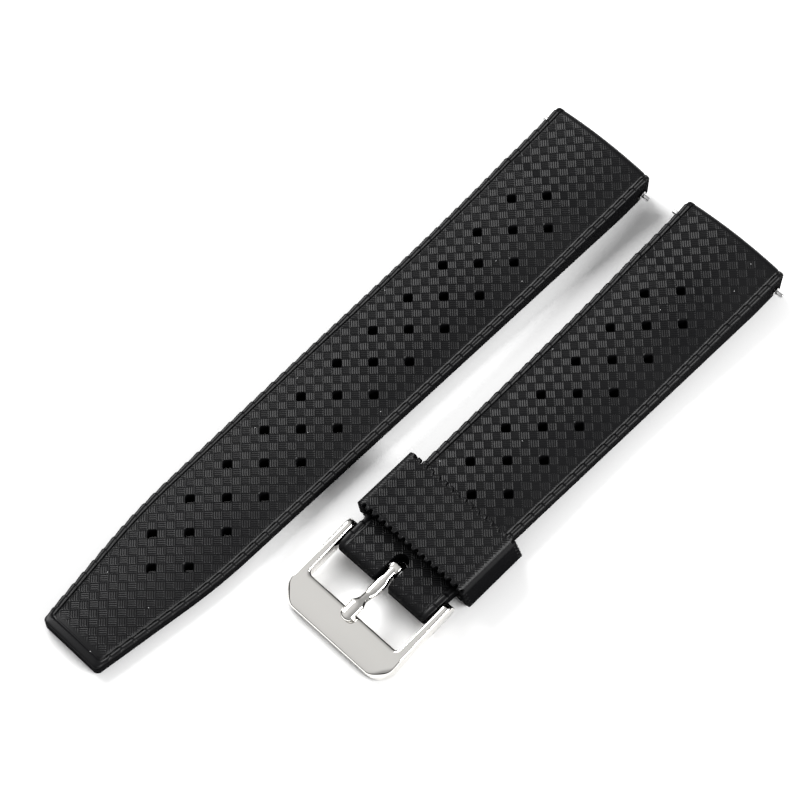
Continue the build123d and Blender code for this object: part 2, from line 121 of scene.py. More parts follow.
class StrapSizes(bpy.types.PropertyGroup):
    """Sizes that both halves share."""

    lug_thickness: length("Lug thickness", "Thickness at the watch end", 5.3)
    lug_corner: length("Lug corner", "Corner radius at the watch end, seen from above", 0.8)
    lug_rise: length("Lug rise", "How much higher the outer face is at the watch end", 1.2)
    lug_rise_length: length("Lug rise length", "Length over which it rises", 11.7)
    lug_rise_power: amount("Lug rise power", "Power law of the rise", 1.2)
    lug_edge: length("Lug edge", "Rounding of the upper edge at the watch end", 1.5)
    lug_under_lift: length("Back lift", "Height of the sloping back at the watch end", 0.9)
    lug_under_run: length("Back run", "Length of the sloping back", 6.5)
    lug_under_radius: length("Back radius", "Rounding of the lower edge at the watch end", 1.3)
    lug_bar_inset: length("Lug bar inset", "Bar from the watch end", 2.1)
    lug_bar_height: length("Lug bar height", "Bar above the table", 2.35)
    thick_end: length("Thick end", "Length before the run-out starts", 13.7)
    run_out: length("Run-out", "Length over which the thickness runs out", 44.0)
    mid_thickness: length("Middle thickness", "Thickness where the run-out ends", 3.2)
    crown_radius: length("Crown radius", "Radius of the outer face across the strap", 58.0)
    roll_width: length("Roll width", "Width of the rolled edge", 0.85)
    roll_height: length("Roll height", "Height of the rolled edge's round part", 0.32)
    roll_rise: length("Roll rise", "How far the roll stands over the outer face", 0.03)
    groove_width: length("Groove width", "Width of the groove beside the roll", 0.28)
    groove_depth: length("Groove depth", "Depth of the groove beside the roll", 0.2)
    groove_flank: length("Groove flank", "Slope of the groove's inner wall", 0.06)
    side_foot: length("Side foot", "Chamfer along the lower edge", 0.3)
    scallop_pitch: length("Scallop pitch", "Distance from one scallop to the next", 2.35)
    scallop_depth: length("Scallop depth", "How far a scallop stands out", 0.16)
    scallop_margin: length("Scallop margin", "Plain length of roll at each end", 1.6)
    hole_pitch: length("Hole pitch", "Distance between perforations of one row", 8.0)
    hole_side: length("Hole side", "Side of a square perforation", 1.4)
    hole_corner: length("Hole corner", "Corner radius of a perforation", 0.32)
    hole_row_offset: length("Hole row offset", "Distance of the outer rows from the middle row", 4.0)
    hole_mouth: length("Hole mouth", "Rounding round the mouth of a perforation", 0.13)
    tunnel_diameter: length("Tunnel diameter", "Bore for a spring bar", 1.9)


class LongHalfSizes(bpy.types.PropertyGroup):
    """Sizes of the long half."""

    first_hole: length("First hole", "First perforation, from the watch end", 14.2)
    hole_count: whole("Holes", "Perforations in the middle row", 12)
    tail_width: length("Tail width", "Width where the straight taper ends", 17.7)
    straight: length("Straight taper", "Length of the straight taper", 90.7)
    bend: length("Bend", "Length of the bend into the tip's taper", 12.0)
    tip_width: length("Tip width", "Width of the tip", 11.6)
    tip_thickness: length("Tip thickness", "Thickness of the tip", 2.6)
    tip_corner: length("Tip corner", "Corner radius of the tip, seen from above", 0.9)
    field_corner: length("Field corner", "Corner radius of the woven field at the tip", 0.7)
    lip_length: length("Lip length", "Width of the raised lip at the tip", 1.3)
    lip_rise: length("Lip rise", "How far the lip stands over the outer face", 0.1)
    lip_groove: length("Lip groove", "Width of the groove before the lip", 0.36)


class ShortHalfSizes(bpy.types.PropertyGroup):
    """Sizes of the short half."""

    first_hole: length("First hole", "First perforation, from the watch end", 13.95)
    hole_count: whole("Holes", "Perforations in the middle row", 7)
    length: length("Length", "Length of the short half", 81.9)
    end_width: length("End width", "Width at the buckle", 17.9)
    end_thickness: length("End thickness", "Thickness at the buckle", 3.0)
    end_corner: length("End corner", "Corner radius at the buckle, seen from above", 0.6)
    bar_setback: length("Bar setback", "Buckle bar from the end", 3.5)
    slot_width: length("Slot width", "Width of the tongue's slot", 2.6)
    slot_depth: length("Slot depth", "Depth of the tongue's slot", 5.8)
    slot_mouth: length("Slot mouth", "Corner radius at the slot's mouth", 0.7)


class KeeperSizes(bpy.types.PropertyGroup):
    """Sizes of the keeper loop."""

    wall: length("Wall", "Wall of the loop", 1.3)
    height: length("Height", "Height of the loop", 7.7)
    top_width: length("Top width", "Width across the top", 21.6)
    base_width: length("Base width", "Width across the base", 23.2)
    top_radius: length("Top radius", "Radius of the shoulders", 1.7)
    base_radius: length("Base radius", "Radius of the lower corners", 1.1)
    lean: length("Lean", "How far the top leans to the buckle", 1.4)
    tooth_pitch: length("Tooth pitch", "Distance from one tooth to the next", 1.35)
    notch_width: length("Notch width", "Width of the notch between two teeth", 0.78)
    notch_depth: length("Notch depth", "Depth of the notch between two teeth", 0.62)
    edge_round: length("Edge round", "Rounding of the loop's edges", 0.22)
    field_margin: length("Field margin", "Plain band beside the woven field", 0.5)


class BuckleSizes(bpy.types.PropertyGroup):
    """Sizes of the steel frame, about its bar axis."""

    side_clearance: length("Side clearance", "Gap between the strap and an arm", 0.3)
    arm_thickness: length("Arm thickness", "Thickness of an arm, seen from above", 1.45)
    arm_height: length("Arm height", "Height of an arm", 2.9)
    plate_inner: length("Plate inner", "Plate's inner edge from the bar axis", 9.2)
    length: length("Length", "Plate's outer edge from the bar axis", 14.7)
    plate_thickness: length("Plate thickness", "Thickness of the plate", 1.5)
    outer_corner: length("Outer corner", "Corner radius outside, seen from above", 3.2)
    inner_corner: length("Inner corner", "Corner radius inside, seen from above", 0.8)
    nose_drop: length("Nose drop", "How far the plate curves down", 1.1)
    foot_radius: length("Foot radius", "Radius of the foot under the plate", 0.6)
    arm_round: length("Arm round", "Rounding of the arms' upper edges", 0.55)
    plate_round: length("Plate round", "Rounding of the plate's outer edge", 0.28)
    corner_round: length("Corner round", "Extra rounding of the edge at the outer corners", 0.75)
    window_round: length("Window round", "Rounding of the plate's edge at the window", 0.75)
    pivot_hole: length("Pivot hole", "Diameter of the blind holes for the bar", 0.9)
    pivot_depth: length("Pivot depth", "Depth of the blind holes", 1.05)


class TongueSizes(bpy.types.PropertyGroup):
    """Sizes of the steel tongue, about its bar axis."""

    ring_diameter: length("Ring diameter", "Outer diameter of the ring", 3.0)
    ring_width: length("Ring width", "Width of the ring", 2.0)
    ring_bore: length("Ring bore", "Bore of the ring", 1.92)
    ring_round: length("Ring round", "Rounding of the ring's edges", 0.5)
    neck_width: length("Neck width", "Width of the neck", 1.5)
    bulge_start: length("Bulge start", "Where the bulge starts", 3.0)
    bulge_end: length("Bulge end", "Where the bulge ends", 4.8)
    bulge_width: length("Bulge width", "Width of the bulge", 2.0)
    waist_width: length("Waist width", "Width of the waist", 1.45)
    waist_thickness: length("Waist thickness", "Thickness of the waist", 1.1)
    tip_start: length("Tip start", "Where the tip starts", 8.1)
    tip_end: length("Tip end", "Where the tip ends", 11.2)
    tip_width: length("Tip width", "Width of the tip", 2.35)
    tip_thickness: length("Tip thickness", "Thickness of the tip", 1.35)
    body_thickness: length("Body thickness", "Thickness of the neck and bulge", 1.3)
    rest_clearance: length("Rest clearance", "Gap between the tip and the plate", 0.03)


class BarSizes(bpy.types.PropertyGroup):
    """Sizes of a spring bar's sprung tip."""

    head_diameter: length("Head diameter", "Diameter of the head inside the barrel", 1.4)
    head_length: length("Head length", "Length of the head inside the barrel", 0.8)
    stem_diameter: length("Stem diameter", "Diameter of the stem", 1.14)
    collar_diameter: length("Collar diameter", "Diameter of the collar", 1.4)
    collar_length: length("Collar length", "Length of the collar", 0.3)
    pivot_diameter: length("Pivot diameter", "Diameter of the pivot", 0.8)
    lug_pivot: length("Lug pivot", "Length of a pivot at the watch end", 1.3)
    buckle_pivot: length("Buckle pivot", "Length of a pivot at the buckle", 0.95)
    edge_round: length("Edge round", "Rounding of the turned edges", 0.1)
    wire: length("Wire", "Diameter of the coil's wire", 0.2)
    turns: whole("Turns", "Turns of the coil between two tips", 8, 2)


class RubberFinish(bpy.types.PropertyGroup):
    """Finish of the moulded rubber."""

    deep: colour("Deep colour", "Colour of the rubber", (0.0014, 0.0014, 0.0019))
    worn: colour("Worn colour", "Colour of the dry, handled places", (0.0036, 0.0036, 0.004))
    roughness: factor("Roughness", "Roughness of the rubber", 0.36)
    flank: factor("Flank", "Extra roughness of the upright faces", 0.6)
    spread: factor("Spread", "How much rougher the dry, handled places are", 0.15)
    specular: factor("Specular", "Specular level of the rubber under its sheen", 0.03)
    sheen: factor("Sheen", "Weight of the soft sheen on the faces that look up", 0.3)
    dust: factor("Dust", "Brightness of the specks of dust", 0.5)
    grain: factor("Grain", "Strength of the fine grain", 0.35)
    grain_height: length("Grain height", "Height of the fine grain", 0.02)


class SteelFinish(bpy.types.PropertyGroup):
    """Finish of the polished steel."""

    tint: colour("Tint", "Colour of the polished steel", (0.855, 0.838, 0.805))
    bar_tint: colour("Bar tint", "Colour of the spring bars", (0.8, 0.8, 0.8))
    roughness: factor("Roughness", "Roughness of the polished faces", 0.07)
    spring_roughness: factor("Spring roughness", "Roughness of the drawn wire", 0.3)
    cloudy: factor("Cloudy", "Brightness of the cloudy places, of the tint", 0.94)
    grain: factor("Grain", "Strength of the very fine grain", 0.08)
    grain_height: length("Grain height", "Height of the very fine grain", 0.01)


class StageSettings(bpy.types.PropertyGroup):
    """Floor, light and camera."""

    floor: colour("Floor", "Colour of the floor", (0.9, 0.9, 0.9))
    floor_reach: length("Floor reach", "Distance of the floor's edges from the middle", 3000)
    floor_gap: length("Floor gap", "Gap between the floor and the strap", 0.01)
    ambient: amount("Ambient", "Strength of the surrounding light", 0.8)
    shade: factor("Shade", "Brightness of the studio's dark side, of its bright side", 0.5)
    horizon: factor("Horizon", "Brightness of the dark band along the horizon", 0.01)
    bright_side: vector("Bright side", "Direction of the studio's brightest part", (0.2, -0.75, 0.6))
    lamp_distance: length("Lamp distance", "Distance of both softboxes from the strap", 700)
    key: amount("Key", "Power of the key softbox, in watts", 5.4)
    key_side: vector("Key side", "Direction in which the key softbox hangs", (-0.12, -0.76, 0.64))
    key_width: length("Key width", "Width of the key softbox", 440)
    key_height: length("Key height", "Height of the key softbox", 360)
    rim: amount("Rim", "Power of the rim softbox, in watts", 5.6)
    rim_side: vector("Rim side", "Direction in which the rim softbox hangs", (-0.3, 0.83, 0.6))
    rim_width: length("Rim width", "Width of the rim softbox", 500)
    rim_height: length("Rim height", "Height of the rim softbox", 200)
    focal_pixels: amount("Focal length", "Focal length in pixels of the frame", 2679.9)
    frame_pixels: whole("Frame width", "Width of the frame in pixels", 800)
    eye: vector("Eye", "Place of the camera", (0.130897, 0.124049, 0.373595), "XYZ")
    right: vector("Right", "Direction to the picture's right", (-0.69197, 0.721918, -0.003346))
    ahead: vector("Ahead", "Direction in which the camera looks", (-0.322486, -0.313249, -0.89324))


GROUPS = {
    "strap_weave": WeaveSizes,
    "strap_both": StrapSizes,
    "strap_long": LongHalfSizes,
    "strap_short": ShortHalfSizes,
    "strap_keeper": KeeperSizes,
    "strap_buckle": BuckleSizes,
    "strap_tongue": TongueSizes,
    "strap_bars": BarSizes,
    "strap_rubber": RubberFinish,
    "strap_steel": SteelFinish,
    "strap_stage": StageSettings,
}


def smooth_step(low, high, value):
    """Nought below low, one above high, and a smooth cubic rise between them."""
    share = np.clip((value - low) / (high - low), 0, 1)
    return share * share * (3 - 2 * share)


def build_object(name, points, groups):
    """New mesh object from an (n, 3) array of points and (faces, smooth) pairs.

    Each faces is an array of polygons with equally many corners."""
    groups = [(np.atleast_2d(faces), smooth) for faces, smooth in groups]
    corners = np.concatenate([faces.ravel() for faces, _ in groups]).astype(np.int32)
    sides = np.concatenate([np.full(len(faces), faces.shape[1]) for faces, _ in groups])
    flags = np.concatenate([np.full(len(faces), smooth) for faces, smooth in groups])
    starts = np.concatenate([[0], np.cumsum(sides)[:-1]]).astype(np.int32)
    mesh = bpy.data.meshes.new(name)
    mesh.vertices.add(len(points))
    mesh.vertices.foreach_set("co", np.asarray(points, np.float32).ravel())
    mesh.loops.add(len(corners))
    mesh.loops.foreach_set("vertex_index", corners)
    mesh.polygons.add(len(sides))
    mesh.polygons.foreach_set("loop_start", starts)
    mesh.polygons.foreach_set("use_smooth", flags)
    mesh.update(calc_edges=True)
    if mesh.validate():
        raise RuntimeError(f"{name}: the mesh had bad faces")
    made = bpy.data.objects.new(name, mesh)
    bpy.context.scene.collection.objects.link(made)
    return made


def turn_outwards(piece):
    """Merges doubled points and turns all faces of a closed piece outwards."""
    work = bmesh.new()
    work.from_mesh(piece.data)
    bmesh.ops.remove_doubles(work, verts=work.verts, dist=TINY)
    bmesh.ops.recalc_face_normals(work, faces=work.faces)
    work.to_mesh(piece.data)
    work.free()
    return piece


def ring_groups(rings, around, smooth=True, capped=True, first=0):
    """Faces of a stack of rings: a grid round them, with a polygon over each end, or closed on itself."""
    index = first + np.arange(rings * around).reshape(rings, around)
    if not capped:
        index = np.vstack([index, index[:1]])
    after = np.roll(index, -1, axis=1)
    walls = np.stack([index[:-1], after[:-1], after[1:], index[1:]], axis=-1).reshape(-1, 4)
    groups = [(walls, smooth)]
    if capped:
        groups += [(index[0][::-1], False), (index[-1], False)]
    return groups


def stacked_rings(name, rings, smooth=True, capped=True):
    """Closed piece from an (r, k, 3) array of rings, turned outwards."""
    piece = build_object(name, rings.reshape(-1, 3), ring_groups(*rings.shape[:2], smooth, capped))
    return turn_outwards(piece)


def turned(name, stations, radii, axis_x, axis_z, around=48, smooth=True):
    """Piece turned about a line along Y: a circle of each radius at each station, closed at both ends."""
    angle = np.linspace(0, 2 * pi, around, endpoint=False)
    stations = np.asarray(stations)[:, None]
    radii = np.asarray(radii)[:, None]
    x, z = axis_x + radii * np.cos(angle), axis_z + radii * np.sin(angle)
    return stacked_rings(name, np.stack([x, stations + 0 * angle, z], axis=-1), smooth)


def combine(piece, tool, operation):
    """Cuts a closed tool from a closed piece, or joins it on, and deletes the tool."""
    modifier = piece.modifiers.new("combine", "BOOLEAN")
    modifier.operation = operation
    modifier.solver = "MANIFOLD"
    modifier.object = tool
    depsgraph = bpy.context.evaluated_depsgraph_get()
    depsgraph.update()
    made = bpy.data.meshes.new_from_object(piece.evaluated_get(depsgraph))
    piece.modifiers.clear()
    old = piece.data
    if len(made.polygons) == 0 or len(made.polygons) == len(old.polygons):
        raise RuntimeError(f"{piece.name}: {tool.name} changed nothing")
    piece.data = made
    made.name = piece.name
    bpy.data.meshes.remove(old)
    bpy.data.meshes.remove(tool.data)


def dress(piece, body, slot, material, *nodes):
    """Gives a finished piece its material and body, and hides the CAD nodes that it stands for. Its slot is
    not used.
    """
    piece.data.materials.clear()
    piece.data.materials.append(material)
    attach(piece, body)
    if nodes:
        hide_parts(*nodes)
    return piece


def sharpen(piece, degrees_limit=35):
    """Marks the edges sharper than a limit, so that smooth faces keep their creases."""
    piece.data.set_sharp_from_angle(angle=radians(degrees_limit))
    return piece


class StrapForm:
    """Shape of one half in its own coordinates: x or s along it, y across, z up.

    s follows the outer face, also where the face turns down at an end."""

    nose_turn = radians(86)
    roll_turns = np.radians([172, 138, 104, 70, 36, 4])
    scallop_fall = 0.84
    scallop_lift = 1.05
    groove_fill = 0.8

    def __init__(self, both, full_length, end_thickness, far_radius, far_corner, place):
        """Takes a half's length, its far end's thickness and radii, and the function that lays it down."""
        self.both = both
        self.full_length = full_length
        self.end_thickness = end_thickness
        self.near_radius = both.lug_edge
        self.far_radius = far_radius
        self.far_corner = far_corner
        self.place = place
        self.rim = both.roll_width + both.groove_width
        self.field_corner = 0
        self.near_end = self.near_radius * (1 - self.nose_turn)
        self.far_end = full_length - far_radius + far_radius * self.nose_turn

    def half_width(self, x):
        """Half the width at x, set by each half."""
        raise NotImplementedError

    def thickness(self, x):
        """Thickness on the centre line: full at the bar, a cubic run-out, then a straight taper."""
        both = self.both
        run_out_end = both.thick_end + both.run_out
        left = np.clip((run_out_end - x) / both.run_out, 0, 1)
        run_out = (both.lug_thickness - both.mid_thickness) * left ** 3
        near = np.clip(1 - x / both.lug_rise_length, 0, 1)
        rise = both.lug_rise * near ** both.lug_rise_power
        taper = (self.end_thickness - both.mid_thickness) / (self.full_length - run_out_end)
        return both.mid_thickness + run_out + rise + taper * np.clip(x - run_out_end, 0, None)

    def face(self, x, y):
        """Height of the outer face: the thickness less the drop of a circle of the crown's radius."""
        crown = self.both.crown_radius
        drop = crown - np.sqrt(crown ** 2 - y ** 2)
        return self.thickness(x) - drop * (1 - self.swell(x) / 2)

    def swell(self, x):
        """Nought. On the short half it grows to one over the buckle's bar, where the face is flatter."""
        return 0 * x

    def upper(self, s, x, y):
        """Height of the outer face where it turns down at the watch end."""
        turn = np.clip((self.near_radius - s) / self.near_radius, 0, None)
        return self.face(x, y) - self.near_radius * (1 - np.cos(turn))

    def under(self, x):
        """Height of the back: level, then sloping up to the watch end, where an arc turns it upright."""
        both = self.both
        radius, run, lift = both.lug_under_radius, both.lug_under_run, both.lug_under_lift
        slope = atan2(lift, run)
        tangent = radius / tan((pi / 2 + slope) / 2)
        line = lift * np.clip(1 - x / run, 0, None)
        arc = lift + tangent - np.sqrt(radius ** 2 - np.clip(radius - x, 0, radius) ** 2)
        return np.where(x < tangent * cos(slope), arc, line)

    def along(self, s):
        """Place x along the strap of a point s along its face, which turns round the ends."""
        near, far = self.near_radius, self.far_radius
        x = np.where(s < near, near * (1 - np.sin(np.clip((near - s) / near, 0, None))), s)
        if far > 0:
            start = self.full_length - far
            x = np.where(s > start, start + far * np.sin(np.clip((s - start) / far, 0, None)), x)
        return x

    def bend(self, s, y, z):
        """Points of the half as it lies: a half-round end draws its heights in round its middle.

        Both ends' corners are round seen from above, so widths are drawn in there."""
        far = self.far_radius
        x = self.along(s)
        corner = self.both.lug_corner
        inward = np.clip(corner - x, 0, corner)
        drop = corner - np.sqrt(corner ** 2 - inward ** 2)
        if far > 0:
            start = self.full_length - far
            squeeze = np.cos(np.clip((s - start) / far, 0, None))
            z = np.where(s > start, far + (z - far) * squeeze, z)
            corner = self.far_corner
            inward = np.clip(x - (self.full_length - corner), 0, corner)
            drop = drop + corner - np.sqrt(corner ** 2 - inward ** 2)
        y = y * (1 - drop / self.half_width(x))
        return self.place(np.stack([x, y, z], axis=-1))

    def scallop(self, x):
        """Saw-tooth along the roll: a quick rise on the side of the watch, then a slow fall."""
        both, fall = self.both, self.scallop_fall
        phase = np.mod((x - both.scallop_margin) / both.scallop_pitch, 1)
        wave = np.where(phase < fall, 1 - phase / fall, (phase - fall) / (1 - fall))
        last = self.full_length - self.rim - both.scallop_margin
        start = smooth_step(0, both.scallop_margin, x)
        return both.scallop_depth * wave * start * (1 - smooth_step(last, last + both.scallop_margin, x))

    def side_profile(self):
        """Rows of the rim from the field outwards: a groove, the round roll, the side and its foot.

        Each is an inset, one for the face's height or nought for the back's, a rise over that, and
        the scallop's outward and upward shares."""
        both, angle = self.both, self.roll_turns
        round_part = np.stack([
            both.roll_width / 2 * (1 - np.cos(angle)),
            np.ones(len(angle)),
            both.roll_rise - both.roll_height * (1 - np.sin(angle)),
            np.clip(np.cos(angle), 0, 1),
            self.scallop_lift * np.sin(angle),
        ], axis=-1)
        shoulder = both.roll_rise - both.roll_height - both.roll_width / 4
        return np.vstack([
            [self.rim - both.groove_flank, 1, -both.groove_depth, 0, 0],
            [both.roll_width, 1, -both.groove_depth, 0, 0],
            round_part,
            [0, 1, shoulder, 0, 0],
            [0, 0, both.side_foot, 0, 0],
            [both.side_foot, 0, 0, 0, 0],
        ])


class LongForm(StrapForm):
    """The long half: a straight taper, a gentle bend and a straight taper to a tip with a raised lip."""

    # Steps of the lip from its groove to its wall: share of its width, and share of its rise
    lip_steps = ((1, 0.3), (0.93, 0.8), (0.8, 1), (0.35, 1), (0.1, 0.7), (0, -0.4))

    def __init__(self, both, sizes, full_length, place):
        self.sizes = sizes
        super().__init__(both, full_length, sizes.tip_thickness, 0, 0, place)
        self.field_corner = sizes.field_corner
        self.lip = sizes.lip_length + sizes.lip_groove
        self.far_end = full_length - self.lip
        self.lug_half = strap_half_width()

    def half_width(self, x):
        """Straight taper, then a slope that grows evenly over the bend, then that slope to the tip."""
        sizes = self.sizes
        first = (sizes.tail_width / 2 - self.lug_half) / sizes.straight
        tip_run = self.full_length - sizes.straight
        too_wide = self.lug_half + first * self.full_length - sizes.tip_width / 2
        extra = too_wide / (tip_run - sizes.bend / 2)
        past = np.clip(x - sizes.straight, 0, tip_run)
        bent = np.minimum(past, sizes.bend)
        return self.lug_half + first * x - extra * (bent ** 2 / (2 * sizes.bend) + past - bent)

    def lip_profile(self):
        """Inset and rise of the lip's rows, one for each of the side's: groove, flat top and end wall."""
        both, inner, rise = self.both, self.sizes.lip_length, self.sizes.lip_rise
        return np.array([
            [self.lip - both.groove_flank, -rise / 3],
            [inner + both.groove_flank, -rise / 3],
            *([inner * inset, rise * height] for inset, height in self.lip_steps),
            [0, -both.roll_height],
            [0, both.side_foot],
            [both.side_foot, 0],
        ])


class ShortForm(StrapForm):
    """The short half: one straight taper to a half-round end."""

    def __init__(self, both, sizes, place):
        self.sizes = sizes
        self.lug_half = strap_half_width()
        thickness = sizes.end_thickness
        super().__init__(both, sizes.length, thickness, thickness / 2, sizes.end_corner, place)

    def swell(self, x):
        """A smooth rise from nought to one before the buckle's bar."""
        bar = self.full_length - self.sizes.bar_setback
        return smooth_step(bar - 2 * self.sizes.bar_setback, bar - self.sizes.end_thickness / 2, x)

    def half_width(self, x):
        """One straight taper."""
        return self.lug_half + (self.sizes.end_width / 2 - self.lug_half) * x / self.full_length


def strap_half_width():
    """Half the width at the watch end, from the pivots' collars in the frame."""
    bars = bpy.context.scene.strap_bars
    low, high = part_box("long_lug_bar_tip_right")
    middle = (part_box("long_lug_bar_barrel")[0].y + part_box("long_lug_bar_barrel")[1].y) / 2
    return high.y - middle - bars.lug_pivot - bars.collar_length


def weave_valley(i, j, steps):
    """Depth of the weave: nought on the cells' shared borders, a share on the ridges, one between them.

    The ridges of one cell run one way, and those of the next cell the other way."""
    even = (np.floor_divide(i, steps) + np.floor_divide(j, steps)) % 2 == 0
    border = (i % steps == 0) | (j % steps == 0)
    ridge = np.where(even, i % 2 == 0, j % 2 == 0)
    return np.where(border, 0.0, np.where(ridge, RIDGE_DEPTH, 1.0))


def turned_lattice(low, high, reach):
    """Square lattice turned by 45 degrees: points (a, b) with an even sum, and the squares between."""
    a, b = np.meshgrid(np.arange(low, high + 1), np.arange(-reach, reach + 1), indexing="ij")
    even = (a + b) % 2 == 0
    index = np.cumsum(even.ravel()).reshape(even.shape) - 1
    odd = ~even[1:-1, 1:-1]
    west, south, east, north = index[:-2, 1:-1], index[1:-1, :-2], index[2:, 1:-1], index[1:-1, 2:]
    return a[even], b[even], np.stack([west, south, east, north], axis=-1)[odd]


def split_squares(plan, squares):
    """Triangles of squares given as west, south, east and north.

    Each square is split along the diagonal that leaves the larger smallest triangle."""

    def area(p, q, r):
        """Twice the area of the triangle of three points."""
        return (
            (plan[q, 0] - plan[p, 0]) * (plan[r, 1] - plan[p, 1])
            - (plan[r, 0] - plan[p, 0]) * (plan[q, 1] - plan[p, 1])
        )

    west, south, east, north = squares.T
    upright = np.minimum(area(south, east, north), area(south, north, west))
    level = np.minimum(area(west, south, east), area(west, east, north))
    stands = (upright >= level - TINY * MM)[:, None]
    first = np.where(stands, np.stack([south, east, north], 1), np.stack([west, south, east], 1))
    second = np.where(stands, np.stack([south, north, west], 1), np.stack([west, east, north], 1))
    triangles = np.vstack([first, second])
    a, b, c = triangles.T
    return triangles[(a != b) & (b != c) & (a != c)]


def merge_points(plan, squares):
    """Merges points that fall together and drops unused ones: the kept points' numbers and the squares."""
    used = np.unique(squares)
    keys = np.round(plan[used] / CLOSE).astype(np.int64)
    _, first, same = np.unique(keys, axis=0, return_index=True, return_inverse=True)
    renumber = np.full(len(plan), -1)
    renumber[used] = same.ravel()
    return used[first], renumber[squares]


def border_points(triangles, key, count):
    """Points on the border of a triangle mesh in the order of their key, tested against its own edges."""
    edges = np.vstack([triangles[:, [0, 1]], triangles[:, [1, 2]], triangles[:, [2, 0]]])
    edges = edges.astype(np.int64)
    code = edges[:, 0] * count + edges[:, 1]
    back = edges[:, 1] * count + edges[:, 0]
    open_edges = edges[~np.isin(code, back)]
    after = np.full(count, -1)
    after[open_edges[:, 0]] = open_edges[:, 1]
    border = open_edges[:, 0]
    border = border[np.argsort(key[border], kind="stable")]
    if not np.array_equal(after[border], np.roll(border, -1)):
        raise RuntimeError("the border of a woven field isn't in order")
    return border


def outline_key(plan, near, far, reference, corner, turning, theta):
    """Distance along the woven field's outline, from its lower corner at the watch end, anticlockwise."""
    run, wide = far - near, 2 * reference
    s, level = plan.T
    key = np.where(s < near + CLOSE, 2 * run + 2 * wide - (level + reference), 0)
    key = np.where(s > far - CLOSE, run + level + reference, key)
    key = np.where(level > reference - CLOSE, run + wide + far - s, key)
    key = np.where(level < -reference + CLOSE, s - near, key)
    bent = 2 * corner * theta / (pi / 2)
    key = np.where(turning & (level < 0), run - corner + bent, key)
    return np.where(turning & (level > 0), run + wide + corner - bent, key)


def woven_field(form, weave, first_hole):
    """The woven outer face of a half: the turned lattice, with outside points brought onto the outline.

    Widths are compared with the field's, so that the outline is a rectangle whose far corners may be
    round. Returns points, triangles, depths of the weave, the border in order, the points' keys along
    it, half the field's width and the turn round a far corner."""
    spacing = weave.cell_side / weave.cell_steps / sqrt(2)
    offset = first_hole - weave.cell_side / sqrt(2)
    near, far = form.near_end, form.far_end
    widest = form.half_width(0) - form.rim
    low = int(np.floor((near - offset) / spacing)) - 2
    high = int(np.ceil((far - offset) / spacing)) + 2
    a, b, squares = turned_lattice(low, high, int(widest / spacing) + 3)
    s, y = offset + a * spacing, b * spacing
    reference = form.half_width(form.along(np.array(far))) - form.rim
    level = y * reference / (form.half_width(form.along(s)) - form.rim)
    corner = form.field_corner
    centre_s, centre_y = far - corner, reference - corner
    in_corner = (s > centre_s) & (np.abs(level) > centre_y) & (corner > 0)
    reach = np.hypot(s - centre_s, np.abs(level) - centre_y)
    inside = (s > near + TINY) & (s < far - TINY) & (np.abs(level) < reference - TINY)
    inside &= ~(in_corner & (reach >= corner - TINY))
    pull = np.where(in_corner & (reach > corner), corner / np.maximum(reach, TINY), 1)
    round_s = centre_s + (s - centre_s) * pull
    round_y = np.sign(level) * (centre_y + (np.abs(level) - centre_y) * pull)
    held_s = np.where(in_corner, round_s, np.clip(s, near, far))
    held_y = np.where(in_corner, round_y, np.clip(level, -reference, reference))
    plan = np.stack([held_s, held_y], axis=-1)
    kept, squares = merge_points(plan, squares[inside[squares].any(axis=1)])
    plan = plan[kept]
    triangles = split_squares(plan, squares)
    i, j = (a[kept] + b[kept]) // 2, (a[kept] - b[kept]) // 2
    valley = weave_valley(i, j, weave.cell_steps)
    past_s, past_y = plan[:, 0] - centre_s, np.abs(plan[:, 1]) - centre_y
    theta = np.arctan2(np.clip(past_s, 0, None), np.clip(past_y, 0, None) + TINY)
    turning = in_corner[kept] & (corner > 0)
    key = outline_key(plan, near, far, reference, corner, turning, theta)
    border = border_points(triangles, key, len(plan))
    return plan, triangles, valley, border, key, reference, theta * turning


def rim_rows(form, s, x, y, level, turn, reference):
    """Points of the rim's rows beside each point of the field's outline, down to the back.

    Round the tip of the long half the side's rows pass over into the lip's."""
    side = form.side_profile()
    share, rise = side[:, 0] / form.rim, side[:, 2]
    if isinstance(form, LongForm):
        lip = form.lip_profile()
        turn = np.where(s > form.far_end - CLOSE, pi / 2, turn)
        blend = smooth_step(0, pi / 2, turn)[:, None]
        outer = tip_outline(form, s, level, turn, reference)
        share = share * (1 - blend) + lip[:, 0] / form.lip * blend
        rise = rise * (1 - blend) + lip[:, 1] * blend
    else:
        blend = 0
        outer = np.stack([s, np.sign(level) * form.half_width(x)], axis=-1)
        share, rise = (np.broadcast_to(row, (len(s), len(side))) for row in (share, rise))
    across = np.stack([s, y], axis=-1) - outer
    outward = -across / np.linalg.norm(across, axis=1, keepdims=True)
    along = form.along(outer[:, 0])[:, None]
    bump = form.scallop(along) * (1 - blend)
    plan = outer[:, None] + share[..., None] * across[:, None]
    plan = plan + outward[:, None] * (bump * side[:, 3])[..., None]
    face, back = form.upper(s, x, y)[:, None], form.under(along)
    depth = 1 - form.groove_fill * form.swell(along) * (rise < 0) * (share > 0)
    height = face * side[:, 1] + back * (1 - side[:, 1]) + rise * depth + bump * side[:, 4]
    return form.bend(plan[..., 0], plan[..., 1], height)


def grid_walls(grid):
    """Quads between the rows of a grid of point numbers."""
    quads = np.stack([grid[:-1, :-1], grid[:-1, 1:], grid[1:, 1:], grid[1:, :-1]], axis=-1)
    return quads.reshape(-1, 4)


def end_line(first, line, last):
    """Point numbers along one end of the field's outline, from corner to corner, none twice."""
    line = np.concatenate([[first], line, [last]])
    return line[np.concatenate([[True], line[1:] != line[:-1]])]


